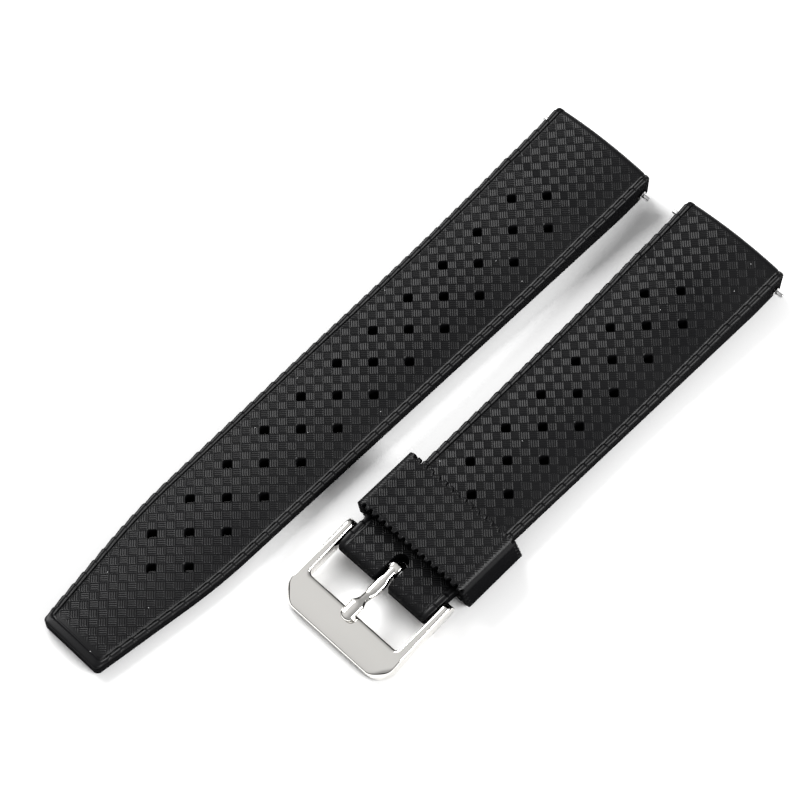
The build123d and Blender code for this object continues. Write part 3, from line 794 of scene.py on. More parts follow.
def strap_shell(name, form, weave, first_hole):
    """Closed mesh of one half before its holes are cut: woven field, rim, back and ends."""
    plan, triangles, valley, border, key, reference, theta = woven_field(form, weave, first_hole)
    near, far = form.near_end, form.far_end
    run, wide = far - near, 2 * reference
    walled = isinstance(form, LongForm)
    place = key[border]
    lower = border[place <= run + TINY]
    upper = border[(place >= run + wide - TINY) & (place <= 2 * run + wide + TINY)]
    plan[lower[0]] = (near, -reference)
    plan[upper[-1]] = (near, reference)
    if walled:
        chains = [border[place <= 2 * run + wide + TINY]]
    else:
        plan[lower[-1]] = (far, -reference)
        plan[upper[0]] = (far, reference)
        chains = [lower, upper]
    s, level = plan.T
    x = form.along(s)
    y = level * (form.half_width(x) - form.rim) / reference
    fade = smooth_step(0, weave.edge_fade, reference - np.abs(level))
    fade = fade * smooth_step(weave.lug_fade_start, weave.lug_fade_end, s)
    fade = fade * (1 - smooth_step(far - weave.tip_fade, far - weave.edge_fade, s))
    z = form.upper(s, x, y) - weave.relief * valley * fade
    points, groups, rims = [form.bend(s, y, z)], [(triangles, False)], []
    count = len(plan)
    for chain in chains:
        rows = rim_rows(form, s[chain], x[chain], y[chain], level[chain], theta[chain], reference)
        points.append(rows.reshape(-1, 3))
        made = count + np.arange(rows[..., 0].size).reshape(rows.shape[:2])
        count += made.size
        groups.append((grid_walls(np.concatenate([chain[:, None], made], axis=1)), True))
        rims.append(made)
    first, last = rims[0], rims[-1]
    near_line = end_line(upper[-1], border[place >= 2 * run + wide - TINY], lower[0])
    groups.append((np.concatenate([near_line[::-1], last[-1], first[0][::-1]]), False))
    if walled:
        half = chains[0][:len(chains[0]) // 2]
        straight = np.count_nonzero(s[half] <= far - form.field_corner)
    else:
        straight = len(first)
        middle = border[(place >= run - TINY) & (place <= run + wide + TINY)]
        far_line = end_line(lower[-1], middle, upper[0])
        groups.append((np.concatenate([far_line[::-1], first[-1], last[0][::-1]]), False))
    low, high = first[:straight, -1], last[::-1][:straight, -1]
    groups.append((np.stack([low[:-1], high[:-1], high[1:], low[1:]], axis=-1), True))
    if walled:
        groups.append((first[straight - 1:len(first) - straight + 1, -1][::-1], False))
    return build_object(name, np.vstack(points), groups)


def tip_outline(form, s, level, turn, reference):
    """Outer outline of the long half beside each point of the field's, with its own corner radius.

    The sides are stretched before the corner, over five of the inner corner's radii."""
    corner, inner = form.sizes.tip_corner, form.field_corner
    end = form.full_length
    inner_start = form.far_end - inner
    outer_start = end - corner
    stretch_from = inner_start - 5 * inner
    share = np.clip((s - stretch_from) / (inner_start - stretch_from), 0, 1)
    pull = share * (outer_start - inner_start)
    side_s = s + pull
    side_y = form.half_width(side_s)
    centre_y = form.half_width(outer_start) - corner
    corner_s, corner_y = outer_start + corner * np.sin(turn), centre_y + corner * np.cos(turn)
    end_y = np.abs(level) * centre_y / (reference - inner)
    turning = turn > 0
    at_end = turn >= pi / 2
    outer_s = np.where(at_end, end, np.where(turning, corner_s, side_s))
    outer_y = np.where(at_end, end_y, np.where(turning, corner_y, side_y))
    return np.stack([outer_s, np.sign(level) * outer_y], axis=-1)


def hole_places(both, first, count):
    """Middle row of perforations, and a pair between each two of them."""
    middle = first + both.hole_pitch * np.arange(count)
    between = first + both.hole_pitch * (np.arange(count - 1) + 0.5)
    aside = np.full(count - 1, both.hole_row_offset)
    return np.concatenate([middle, between, between]), np.concatenate([0 * middle, -aside, aside])


def turn_matrix(angle):
    """Matrix that turns rows of plan points anticlockwise."""
    return np.array([[cos(angle), sin(angle)], [-sin(angle), cos(angle)]])


def rounded_square(half, corner, per_corner=5):
    """Outline of a square that stands on one corner, with round corners, as an (n, 2) array."""
    turn = np.linspace(0, pi / 2, per_corner)
    quarter = (half - corner) + corner * np.stack([np.cos(turn), np.sin(turn)], axis=-1)
    outline = np.vstack([quarter @ turn_matrix(angle) for angle in np.arange(4) * pi / 2])
    return outline @ turn_matrix(pi / 4)


def hole_tools(form, first, count):
    """All perforations of a half as one set of closed prisms whose mouths flare out at the outer face."""
    both = form.both
    x, y = hole_places(both, first, count)
    top = form.face(x, y)[:, None]
    mouth = both.hole_mouth
    spare = both.lug_thickness / 2
    near_top = top + mouth * np.array([-2.2, -1, -0.3, 0.5])
    levels = np.hstack([0 * top - spare, near_top, top + spare])
    grow = mouth * np.array([0, 0, 0.35, 1, 2, 2])
    half = both.hole_side / 2
    rings = np.stack([rounded_square(half + g, both.hole_corner + g) for g in grow])
    around = rings.shape[1]
    centre = np.stack([x, y], axis=-1)[:, None, None]
    plan = rings[None] + centre
    height = np.broadcast_to(levels[..., None, None], (*plan.shape[:3], 1))
    points = form.place(np.concatenate([plan, height], axis=-1))
    groups = []
    for index in range(len(x)):
        groups += ring_groups(len(grow), around, False, True, index * len(grow) * around)
    return turn_outwards(build_object("hole_tools", points.reshape(-1, 3), groups))


def tunnel_tool(form, x, z):
    """Round tool across a half for a spring bar."""
    both = form.both
    reach = 2 * both.roll_width + form.half_width(0)
    angle = np.linspace(0, 2 * pi, 40, endpoint=False)
    radius = both.tunnel_diameter / 2
    rings = np.stack([
        np.stack([x + radius * np.cos(angle), 0 * angle + y, z + radius * np.sin(angle)], axis=-1)
        for y in (-reach, reach)
    ])
    return stacked_rings("tunnel_tool", form.place(rings))


def slot_tool(form):
    """Upright tool for the tongue's slot: a round inner end, straight sides and a mouth of two arcs."""
    sizes = form.sizes
    half, mouth = sizes.slot_width / 2, sizes.slot_mouth
    inner = sizes.length - sizes.slot_depth + half
    turn = np.linspace(pi / 2, 3 * pi / 2, 17)
    round_end = np.stack([inner + half * np.cos(turn), half * np.sin(turn)], axis=-1)
    turn = np.linspace(0, pi / 2, 9)
    flare_x, flare_y = mouth * np.sin(turn) - mouth, mouth * np.cos(turn) - mouth
    flare = np.stack([sizes.length + flare_x, flare_y - half], axis=-1)
    beyond = sizes.length + mouth
    outside = [[beyond, -half - mouth], [beyond, half + mouth]]
    outline = np.vstack([round_end, flare, outside, flare[::-1] * (1, -1)])
    spare = sizes.end_thickness
    rings = np.stack([
        np.column_stack([outline, np.full(len(outline), z)]) for z in (-spare, sizes.end_thickness + spare)
    ])
    return stacked_rings("slot_tool", form.place(rings), False)


def centre_of(node):
    """Middle of a node's box in the frame."""
    low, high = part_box(node)
    return (low + high) / 2


def long_place():
    """Function that moves points of the long half to where it lies."""
    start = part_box("long_strap")[0].x
    middle = centre_of("long_strap").y
    return lambda points: points + np.array([start, middle, 0])


def short_place():
    """Function that lays the short half down, leaning so that its bar meets the buckle's bar.

    It turns about the edge where the back's slope begins."""
    scene = bpy.context.scene
    short, edge = scene.strap_short, scene.strap_both.lug_under_run
    bar = centre_of("buckle_bar_barrel")
    run, rise = short.length - short.bar_setback - edge, short.end_thickness / 2
    tilt = asin(bar.z / hypot(run, rise)) - atan2(rise, run)
    turn = np.array([[cos(tilt), 0, sin(tilt)], [0, 1, 0], [-sin(tilt), 0, cos(tilt)]])
    place = np.array([bar.x - run * cos(tilt) + rise * sin(tilt), bar.y, 0])
    return lambda points: (points - np.array([edge, 0, 0])) @ turn + place


class STRAP_OT_long_half(bpy.types.Operator):
    """Build the long half with its weave, scalloped rim, perforations and lipped tip"""

    bl_idname = "strap.long_half"
    bl_label = "Long half"

    def execute(self, context):
        scene = context.scene
        low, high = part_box("long_strap")
        both, sizes = scene.strap_both, scene.strap_long
        form = LongForm(both, sizes, high.x - low.x, long_place())
        piece = strap_shell("long_half_moulding", form, scene.strap_weave, sizes.first_hole)
        combine(piece, hole_tools(form, sizes.first_hole, sizes.hole_count), "DIFFERENCE")
        combine(piece, tunnel_tool(form, both.lug_bar_inset, both.lug_bar_height), "DIFFERENCE")
        dress(piece, "long_half", "strap_rubber", rubber_material("moulded_rubber"), "long_strap")
        return {"FINISHED"}


class STRAP_OT_short_half(bpy.types.Operator):
    """Build the short half with its weave, scalloped rim, perforations and tongue slot"""

    bl_idname = "strap.short_half"
    bl_label = "Short half"

    def execute(self, context):
        scene = context.scene
        both, sizes = scene.strap_both, scene.strap_short
        form = ShortForm(both, sizes, short_place())
        piece = strap_shell("short_half_moulding", form, scene.strap_weave, sizes.first_hole)
        combine(piece, hole_tools(form, sizes.first_hole, sizes.hole_count), "DIFFERENCE")
        combine(piece, slot_tool(form), "DIFFERENCE")
        combine(piece, tunnel_tool(form, both.lug_bar_inset, both.lug_bar_height), "DIFFERENCE")
        bar_x = sizes.length - sizes.bar_setback
        combine(piece, tunnel_tool(form, bar_x, sizes.end_thickness / 2), "DIFFERENCE")
        dress(piece, "short_half", "strap_rubber", rubber_material("moulded_rubber"), "short_strap")
        return {"FINISHED"}


def rounded_polygon(corners, radii, per_corner):
    """Outline with round corners, anticlockwise, as an (n, 2) array: each corner is an arc."""
    corners = np.asarray(corners)
    before = np.roll(corners, 1, axis=0) - corners
    after = np.roll(corners, -1, axis=0) - corners
    before /= np.linalg.norm(before, axis=1, keepdims=True)
    after /= np.linalg.norm(after, axis=1, keepdims=True)
    half = np.arccos(np.clip((before * after).sum(axis=1), -1, 1)) / 2
    middle = before + after
    middle /= np.linalg.norm(middle, axis=1, keepdims=True)
    radii = np.asarray(radii)
    centre = corners + middle * (radii / np.sin(half))[:, None]
    start = np.arctan2(*(corners + before * (radii / np.tan(half))[:, None] - centre).T[::-1])
    sweep = (pi - 2 * half)[:, None] * np.linspace(0, 1, per_corner)
    angle = start[:, None] + sweep
    arc = centre[:, None] + radii[:, None, None] * np.stack([np.cos(angle), np.sin(angle)], axis=-1)
    return arc.reshape(-1, 2)


def keeper_ring(sizes, per_corner=25):
    """Outer and inner outline of the loop in the YZ plane, with equally many points.

    Both start and end in the middle of the top, and the wall's thickness is the same all round."""
    top, base, height, wall = sizes.top_width / 2, sizes.base_width / 2, sizes.height, sizes.wall
    lean_in = wall * hypot(top - base, height) / height
    splay = wall * (base - top) / height
    inner_top, inner_base = top - lean_in + splay, base - lean_in - splay
    outer = np.array([[top, height], [-top, height], [-base, 0], [base, 0]])
    inner = np.array([
        [inner_top, height - wall], [-inner_top, height - wall], [-inner_base, wall], [inner_base, wall],
    ])
    radii = np.array([sizes.top_radius, sizes.top_radius, sizes.base_radius, sizes.base_radius])
    closed = []
    for corners, rounding in ((outer, radii), (inner, np.maximum(radii - wall, wall / 4))):
        loop = rounded_polygon(corners, rounding, per_corner)
        middle = np.array([[0, corners[0, 1]]])
        closed.append(np.vstack([middle, np.roll(loop, -per_corner, axis=0), middle]))
    return closed


def keeper_field(sizes, weave, full_length):
    """Lattice wrapped round the loop, its run brought onto the toothed edges: it closes on itself.

    Returns its points' run and arc length, depths, triangles and the outline's arc lengths."""
    outer, _ = keeper_ring(sizes)
    arc = np.concatenate([[0], np.cumsum(np.linalg.norm(np.diff(outer, axis=0), axis=1))])
    spacing = weave.cell_side / weave.cell_steps / sqrt(2)
    around = 2 * int(round(arc[-1] / spacing / 2))
    pitch = arc[-1] / around
    low, high = -3, int(full_length / spacing) + 4
    a, b = np.meshgrid(np.arange(low, high + 1), np.arange(around), indexing="ij")
    even = (a + b) % 2 == 0
    index = np.cumsum(even.ravel()).reshape(even.shape) - 1
    south, north = np.roll(index, 1, axis=1)[1:-1], np.roll(index, -1, axis=1)[1:-1]
    squares = np.stack([index[:-2], south, index[2:], north], axis=-1)[~even[1:-1]]
    a, b = a[even], b[even]
    run, along = a * spacing, b * pitch
    low_edge, high_edge = keeper_edges(sizes, full_length, along, arc[-1])
    inside = (run > low_edge + TINY) & (run < high_edge - TINY)
    plan = np.stack([np.clip(run, low_edge, high_edge), along], axis=-1)
    kept, squares = merge_points(plan, squares[inside[squares].any(axis=1)])
    plan = plan[kept]
    two_turns = np.vstack([plan, plan + (0, arc[-1])])
    lengths = plan[squares, 1]
    wraps = (lengths.max(axis=1) - lengths.min(axis=1)) > arc[-1] / 2
    lift = wraps[:, None] & (lengths < arc[-1] / 2)
    triangles = split_squares(two_turns, squares + lift * len(plan)) % len(plan)
    i, j = (a[kept] - b[kept]) // 2, (a[kept] + b[kept]) // 2
    return plan, weave_valley(i, j, weave.cell_steps), triangles, arc


def keeper_edges(sizes, full_length, along, around):
    """Both edges of the loop at an arc length: half-round notches at an even pitch, and a rounding."""
    distance = np.minimum(along, around - along)
    phase = np.abs(np.mod(distance / sizes.tooth_pitch + 0.5, 1) - 0.5) * sizes.tooth_pitch
    notch = sizes.notch_depth * np.sqrt(np.clip(1 - (2 * phase / sizes.notch_width) ** 2, 0, 1))
    low = sizes.edge_round + notch
    return low, full_length - low


class STRAP_OT_keeper(bpy.types.Operator):
    """Build the keeper loop with its weave and toothed edges"""

    bl_idname = "strap.keeper"
    bl_label = "Keeper loop"

    def execute(self, context):
        scene = context.scene
        sizes, weave = scene.strap_keeper, scene.strap_weave
        low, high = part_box("keeper_loop")
        full_length = high.x - low.x - sizes.lean
        middle = (low.y + high.y) / 2
        plan, valley, triangles, arc = keeper_field(sizes, weave, full_length)
        outer, inner = keeper_ring(sizes)
        run, along = plan.T
        slope = sizes.lean / sizes.height

        def loop_points(run, along, depth):
            """Points at a run along the loop, an arc length round it and a share of the wall."""
            y, z = (
                np.interp(along, arc, out) * (1 - depth) + np.interp(along, arc, within) * depth
                for out, within in zip(outer.T, inner.T)
            )
            return np.stack([low.x + run + slope * z, middle + y, z], axis=-1)

        flat = sizes.top_width / 2 - sizes.top_radius
        distance = np.minimum(along, arc[-1] - along)
        fade = 1 - smooth_step(flat + sizes.field_margin, flat + 3 * sizes.field_margin, distance)
        low_edge, high_edge = keeper_edges(sizes, full_length, along, arc[-1])
        fade = fade * smooth_step(0, weave.edge_fade, np.minimum(run - low_edge, high_edge - run))
        points = [loop_points(run, along, weave.relief * valley * fade / sizes.wall)]
        groups = [(triangles, False)]
        count = len(plan)
        ends = []
        turn = np.radians([30, 60, 90])
        edge_runs = np.array([*-np.sin(turn), -1, 0])
        edge_depths = np.array([*((1 - np.cos(turn)) * sizes.edge_round / sizes.wall), 0.8, 1])
        for sign, edge in ((1, low_edge), (-1, high_edge)):
            border = np.flatnonzero(np.abs(run - edge) < CLOSE)
            border = border[np.argsort(along[border])]
            shifted = run[border][:, None] + sign * sizes.edge_round * edge_runs
            depth = np.broadcast_to(edge_depths, shifted.shape)
            arc_rows = np.broadcast_to(along[border][:, None], shifted.shape)
            points.append(loop_points(shifted, arc_rows, depth).reshape(-1, 3))
            made = count + np.arange(shifted.size).reshape(shifted.shape)
            count += made.size
            grid = np.concatenate([border[:, None], made], axis=1)
            walls = grid_walls(np.concatenate([grid, grid[:1]]))
            groups.append((walls if sign > 0 else walls[:, ::-1], True))
            ends.append(made[:, -1])
        near, far = ends
        inner_walls = np.stack([near, far, np.roll(far, -1), np.roll(near, -1)], axis=-1)
        groups.append((inner_walls, True))
        piece = build_object("keeper_loop_moulding", np.vstack(points), groups)
        turn_outwards(piece)
        dress(piece, "keeper", "keeper_rubber", rubber_material("moulded_keeper_rubber"), "keeper_loop")
        return {"FINISHED"}


def buckle_place(buckle):
    """Function that turns points about the bar's axis, until the frame's foot meets the table."""
    bar = centre_of("buckle_bar_barrel")
    foot_x = buckle.length - buckle.foot_radius
    foot_z = buckle.foot_radius - buckle.arm_height / 2
    pitch = asin((bar.z - buckle.foot_radius) / hypot(foot_x, foot_z)) + atan2(foot_z, foot_x)
    turn = np.array([[cos(pitch), 0, -sin(pitch)], [0, 1, 0], [sin(pitch), 0, cos(pitch)]])
    return lambda points: points @ turn + np.array(bar)


def plate_top(buckle, x):
    """Height of the frame's upper face: level to the plate, then an arc that drops to the front edge."""
    run, drop = buckle.length - buckle.plate_inner, buckle.nose_drop
    share = np.clip((x - buckle.plate_inner) / run, 0, 1)
    return buckle.arm_height / 2 - drop * share ** 2


def mirrored(values, factors=1):
    """Stations to the middle of the frame and back, with the way back multiplied by the factors."""
    return np.concatenate([values, values[-2::-1] * factors])


def frame_path(buckle, inner):
    """Stations round the frame from ear to ear: inner point, outer point, turn and share of the height.

    Along an arm both points run to where their corners start, round the corner they turn together, and
    along the plate they run across."""
    outer = inner + buckle.arm_thickness
    nose = np.radians(np.linspace(-86, 0, 14))
    arm = np.linspace(0, 1, 24)[1:]
    turn = np.linspace(0, pi / 2, 22)[1:]
    across = np.linspace(1, 0, 16)[1:]
    sides = []
    for y, corner, reach in (
        (inner, buckle.inner_corner, buckle.plate_inner), (outer, buckle.outer_corner, buckle.length)
    ):
        x = np.concatenate([
            buckle.arm_height / 2 * np.sin(nose), arm * (reach - corner),
            reach - corner + corner * np.sin(turn), 0 * across + reach,
        ])
        y = np.concatenate([
            0 * nose + y, 0 * arm + y, y - corner * (1 - np.cos(turn)), across * (y - corner),
        ])
        sides.append(mirrored(np.stack([x, y], axis=-1), (1, -1)))
    turned_by = mirrored(np.concatenate([0 * nose, 0 * arm, turn, 0 * across + pi / 2]))
    tall = mirrored(np.concatenate([np.cos(nose), 0 * arm + 1, 0 * turn + 1, 0 * across + 1]))
    return *sides, turned_by, tall


def frame_rings(buckle, inner):
    """Rings round the frame's section at each station: rounded top, outer wall with a skirt, underside."""
    inside, outside, turn, tall = frame_path(buckle, inner)
    across = outside - inside
    width = np.linalg.norm(across, axis=1)
    ease = smooth_step(0, pi / 2, turn)
    near_edge = buckle.arm_round + (buckle.window_round - buckle.arm_round) * ease
    edge = buckle.arm_round + (buckle.plate_round - buckle.arm_round) * ease
    edge = edge + buckle.corner_round * np.sin(2 * turn) ** 2
    # Neither edge's rounding takes more than this share of the width
    widest = 0.45 * width
    near_edge, edge = np.minimum(near_edge, widest), np.minimum(edge, widest)
    rows = []

    def row(share, drop, passed=None, lift=0):
        """One row of every ring: a share of the way across, at a drop from the upper face.

        A row of the underside says how far it has passed from the arm's to the plate's, and its lift."""
        plan = inside + across * share[:, None]
        height = plate_top(buckle, plan[:, 0]) - drop
        if passed is not None:
            arm_under = lift - buckle.arm_height / 2
            plate_under = lift + height - buckle.plate_thickness
            height = arm_under * (1 - passed) + plate_under * passed
        rows.append(np.column_stack([plan, height * tall]))

    quarter = np.linspace(0, pi / 2, 6)
    for angle in quarter:
        row(near_edge / width * (1 - np.cos(angle)), near_edge * (1 - np.sin(angle)))
    for share in np.linspace(0, 1, 12)[1:-1]:
        row(near_edge / width + (1 - (near_edge + edge) / width) * share, 0)
    for angle in quarter[::-1]:
        row(1 - edge / width * (1 - np.cos(angle)), edge * (1 - np.sin(angle)))
    # The skirt under the plate's outer edge starts late in the corner, and the plate's underside early
    skirt = smooth_step(radians(60), radians(90), turn)
    floor = smooth_step(0, radians(30), turn)
    foot = buckle.plate_round
    wall = np.clip(buckle.arm_thickness / width, 0, 1)
    full = np.ones(len(width))
    # Rows of the underside from the outer wall's foot to the inner wall's. The last but two lies just
    # inside an arm's own inner edge, so that the plate's underside steps up from the arm's there
    for share, passed, lift in (
        (full, skirt, foot),
        (full - 0.3 * foot / width, skirt, 0.3 * foot),
        (full - foot / width, skirt, 0),
        (1 - 0.9 * wall, skirt, 0),
        (1 - 0.98 * wall, floor, 0),
        (np.where(wall < 0.97, foot / width, 0.01), floor, 0),
        (0 * full, floor, foot),
    ):
        row(share, 0, passed, lift)
    return np.stack(rows, axis=1)


class STRAP_OT_buckle_frame(bpy.types.Operator):
    """Build the polished frame: two arms with round ears and a broad curved plate"""

    bl_idname = "strap.buckle_frame"
    bl_label = "Buckle frame"

    def execute(self, context):
        scene = context.scene
        buckle = scene.strap_buckle
        inner = scene.strap_short.end_width / 2 + buckle.side_clearance
        place = buckle_place(buckle)
        rings = frame_rings(buckle, inner)
        piece = stacked_rings("polished_buckle_frame", place(rings))
        bar = centre_of("buckle_bar_barrel")
        reach = inner + buckle.pivot_depth
        combine(piece, bore_tool(bar, reach, buckle.pivot_hole / 2, 24), "DIFFERENCE")
        sharpen(piece)
        dress(piece, "frame", "buckle_steel", steel_material("polished_steel"), "buckle_frame")
        return {"FINISHED"}


def bore_tool(bar, reach, radius, around):
    """Round tool about a bar's line, from its middle out to a reach on both sides."""
    return turned("bore_tool", [bar.y - reach, bar.y + reach], [radius, radius], bar.x, bar.z, around)


def superellipse(width, thickness, count=48, power=2.15):
    """Outline of a soft rectangle: each coordinate is a power of a sine or cosine."""
    angle = np.linspace(0, 2 * pi, count, endpoint=False)
    c, s = np.cos(angle), np.sin(angle)
    y = np.sign(c) * np.abs(c) ** (2 / power)
    z = np.sign(s) * np.abs(s) ** (2 / power)
    return width[:, None] / 2 * y, thickness[:, None] / 2 * z


def tongue_rings(tongue, rest):
    """Sections along the tongue: neck, bulge, rising waist and barrel tip, joined by smooth steps."""
    low = (tongue.ring_diameter - tongue.body_thickness) / 2
    high = rest + tongue.tip_thickness / 2
    x = np.linspace(0, tongue.tip_end, 150)
    half_step = 0.6 * MM
    bulge, waist = tongue.bulge_start - half_step, tongue.bulge_end + half_step
    tip = tongue.tip_start - half_step

    def steps(first, *others):
        """A first value and then (place, value) pairs, joined by smooth steps round each place."""
        result = np.full(len(x), first)
        for place, value in others:
            rise = smooth_step(place - half_step, place + half_step, x)
            result = result + (value - result) * rise
        return result

    width = steps(
        tongue.neck_width, (bulge, tongue.bulge_width), (waist, tongue.waist_width), (tip, tongue.tip_width)
    )
    thickness = steps(
        tongue.body_thickness, (waist, tongue.waist_thickness), (tip, tongue.tip_thickness)
    )
    rise = smooth_step(tongue.bulge_end - half_step, tongue.tip_start + half_step, x)
    middle = low + (high - low) * rise
    # The tip's end is rounded over a run, but stops just short of a point
    round_run, last = 0.42 * tongue.tip_width, 0.995
    share = np.clip((x - (tongue.tip_end - round_run)) / round_run, 0, last)
    ending = np.sqrt(1 - share ** 2)
    y, z = superellipse(width * ending, thickness * ending)
    return np.stack([x[:, None] + 0 * y, y, middle[:, None] + z], axis=-1)


class STRAP_OT_tongue(bpy.types.Operator):
    """Build the polished tongue with its ring round the buckle's bar"""

    bl_idname = "strap.tongue"
    bl_label = "Buckle tongue"

    def execute(self, context):
        scene = context.scene
        tongue, buckle = scene.strap_tongue, scene.strap_buckle
        place = buckle_place(buckle)
        rest = buckle.arm_height / 2 + tongue.rest_clearance
        piece = stacked_rings("polished_tongue", place(tongue_rings(tongue, rest)))
        bar = centre_of("buckle_bar_barrel")
        half, soft = tongue.ring_width / 2, tongue.ring_round
        turn = np.linspace(0, pi / 2, 7)
        inset, drop = soft * (1 - np.cos(turn)), soft * (1 - np.sin(turn))
        stations = bar.y + np.concatenate([inset - half, half - inset[::-1]])
        radii = tongue.ring_diameter / 2 - np.concatenate([drop, drop[::-1]])
        combine(piece, turned("ring_tool", stations, radii, bar.x, bar.z, 64), "UNION")
        combine(piece, bore_tool(bar, 2 * half, tongue.ring_bore / 2, 64), "DIFFERENCE")
        sharpen(piece, 50)
        dress(piece, "tongue", "buckle_steel", steel_material("polished_steel"), "buckle_tongue")
        return {"FINISHED"}


def tip_profile(bars, span, pivot_length):
    """Stations from the inner end, and radii, of a sprung tip: head, stem, collar and pivot."""
    soft, head_end = bars.edge_round, bars.head_length
    head, stem = bars.head_diameter / 2, bars.stem_diameter / 2
    collar, pivot = bars.collar_diameter / 2, bars.pivot_diameter / 2
    collar_end = span - pivot_length
    collar_start = collar_end - bars.collar_length
    return np.array([
        (0, head - soft), (soft, head), (head_end - soft, head), (head_end, head - soft / 2),
        (head_end, stem), (collar_start, stem),
        (collar_start, collar - soft / 2), (collar_start + soft / 2, collar),
        (collar_end - soft / 2, collar), (collar_end, collar - soft / 2),
        (collar_end, pivot), (span - 1.2 * soft, pivot),
        (span - 0.3 * soft, pivot - 0.5 * soft), (span, pivot - 1.2 * soft),
    ]).T


def half_coil(name, bars, low, high, sign):
    """Half of a coil, from its middle to one end: a round wire carried along a helix about the bar."""
    per_turn, around = 16, 10
    radius, rise = (high.x - low.x - bars.wire) / 2, (high.y - low.y - bars.wire) / 2
    share = np.linspace(0, 1, per_turn // 2 * bars.turns + 1)[:, None]
    whole_turn = pi * bars.turns
    turn = whole_turn * share
    out = np.hstack([np.cos(turn), 0 * turn, np.sin(turn)])
    tangent = np.hstack([-np.sin(turn), 0 * turn, np.cos(turn)]) * radius * whole_turn
    tangent = tangent + (0, sign * rise, 0)
    aside = np.cross(out, tangent / np.linalg.norm(tangent, axis=1, keepdims=True))
    line = np.array((low + high) / 2) + radius * out + share * (0, sign * rise, 0)
    angle = np.linspace(0, 2 * pi, around, endpoint=False)[None, :, None]
    section = np.cos(angle) * out[:, None] + np.sin(angle) * aside[:, None]
    return stacked_rings(name, line[:, None] + bars.wire / 2 * section)


class STRAP_OT_spring_bars(bpy.types.Operator):
    """Build the six sprung tips and the coils that they press together, and finish the barrels"""

    bl_idname = "strap.spring_bars"
    bl_label = "Spring bars"

    def execute(self, context):
        scene = context.scene
        bars, finish = scene.strap_bars, scene.strap_steel
        bright = steel_material("turned_steel", finish.bar_tint)
        drawn = steel_material("drawn_steel", finish.bar_tint, finish.spring_roughness)
        for prefix, body, pivot in (
            ("long_lug", "long_half", bars.lug_pivot),
            ("short_lug", "short_half", bars.lug_pivot),
            ("buckle", "short_half", bars.buckle_pivot),
        ):
            coil_low, coil_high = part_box(f"{prefix}_bar_spring")
            for side, sign in (("right", 1), ("left", -1)):
                node = f"{prefix}_bar_tip_{side}"
                low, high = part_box(node)
                stations, radii = tip_profile(bars, high.y - low.y, pivot)
                stations = (low.y if sign > 0 else high.y) + sign * stations
                middle = (low + high) / 2
                tip = turned(f"{prefix}_turned_tip_{side}", stations, radii, middle.x, middle.z)
                dress(sharpen(tip), f"{prefix}_tip_{side}", "bar_steel", bright, node)
                coil = half_coil(f"{prefix}_coil_{side}", bars, coil_low, coil_high, sign)
                dress(coil, body, "spring_steel", drawn, f"{prefix}_bar_spring")
                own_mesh(coil)
            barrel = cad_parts[f"{prefix}_bar_barrel"]
            barrel.data.materials.clear()
            barrel.data.materials.append(bright)
        return {"FINISHED"}


def add_node(tree, kind, inputs=(), **settings):
    """Adds a node with its settings to a tree. Inputs are values, or sockets that are linked to it."""
    made = tree.nodes.new("ShaderNode" + kind)
    for name, value in settings.items():
        setattr(made, name, value)
    feed(tree, made, inputs)
    return made


def feed(tree, node, inputs):
    """Sets a node's inputs to values, or links sockets to them."""
    for name, value in dict(inputs).items():
        if isinstance(value, bpy.types.NodeSocket):
            tree.links.new(value, node.inputs[name])
        else:
            node.inputs[name].default_value = value


def set_stops(ramp, positions, colours):
    """Places both stops of a colour ramp and gives them their colours."""
    for stop, position, shade in zip(ramp.color_ramp.elements, positions, colours):
        stop.position = position
        stop.color = (*shade, 1)


def grain_group():
    """Shared effect on Object coordinates: fine grain as a height, cloudy wear and specks as masks."""
    if "fine_grain" in bpy.data.node_groups:
        return bpy.data.node_groups["fine_grain"]
    group = bpy.data.node_groups.new("fine_grain", "ShaderNodeTree")
    for name, value in (
        ("Grain Scale", 9000), ("Cloud Scale", 60),
        ("Speck Scale", 190), ("Speck Size", 0.012), ("Speck Share", 0.16),
    ):
        socket = group.interface.new_socket(name, in_out="INPUT", socket_type="NodeSocketFloat")
        socket.default_value = value
    for name in ("Height", "Cloud", "Specks"):
        group.interface.new_socket(name, in_out="OUTPUT", socket_type="NodeSocketFloat")
    given = group.nodes.new("NodeGroupInput").outputs
    place = add_node(group, "TexCoord").outputs["Object"]
    grain = add_node(group, "TexNoise", {
        "Vector": place, "Scale": given["Grain Scale"], "Detail": 3, "Roughness": 0.6,
    })
    cloud = add_node(group, "TexNoise", {
        "Vector": place, "Scale": given["Cloud Scale"], "Detail": 4, "Roughness": 0.55,
    })
    cells = add_node(group, "TexVoronoi", voronoi_dimensions="2D")
    feed(group, cells, {"Vector": place, "Scale": given["Speck Scale"]})
    distance = cells.outputs["Distance"]
    near = add_node(group, "Math", {0: distance, 1: given["Speck Size"]}, operation="LESS_THAN")
    red = add_node(group, "SeparateColor", {"Color": cells.outputs["Color"]}).outputs["Red"]
    chosen = add_node(group, "Math", {0: red, 1: given["Speck Share"]}, operation="LESS_THAN")
    specks = add_node(group, "Math", {0: near.outputs[0], 1: chosen.outputs[0]}, operation="MULTIPLY")
    feed(group, group.nodes.new("NodeGroupOutput"), {
        "Height": grain.outputs["Fac"], "Cloud": cloud.outputs["Fac"], "Specks": specks.outputs[0],
    })
    return group


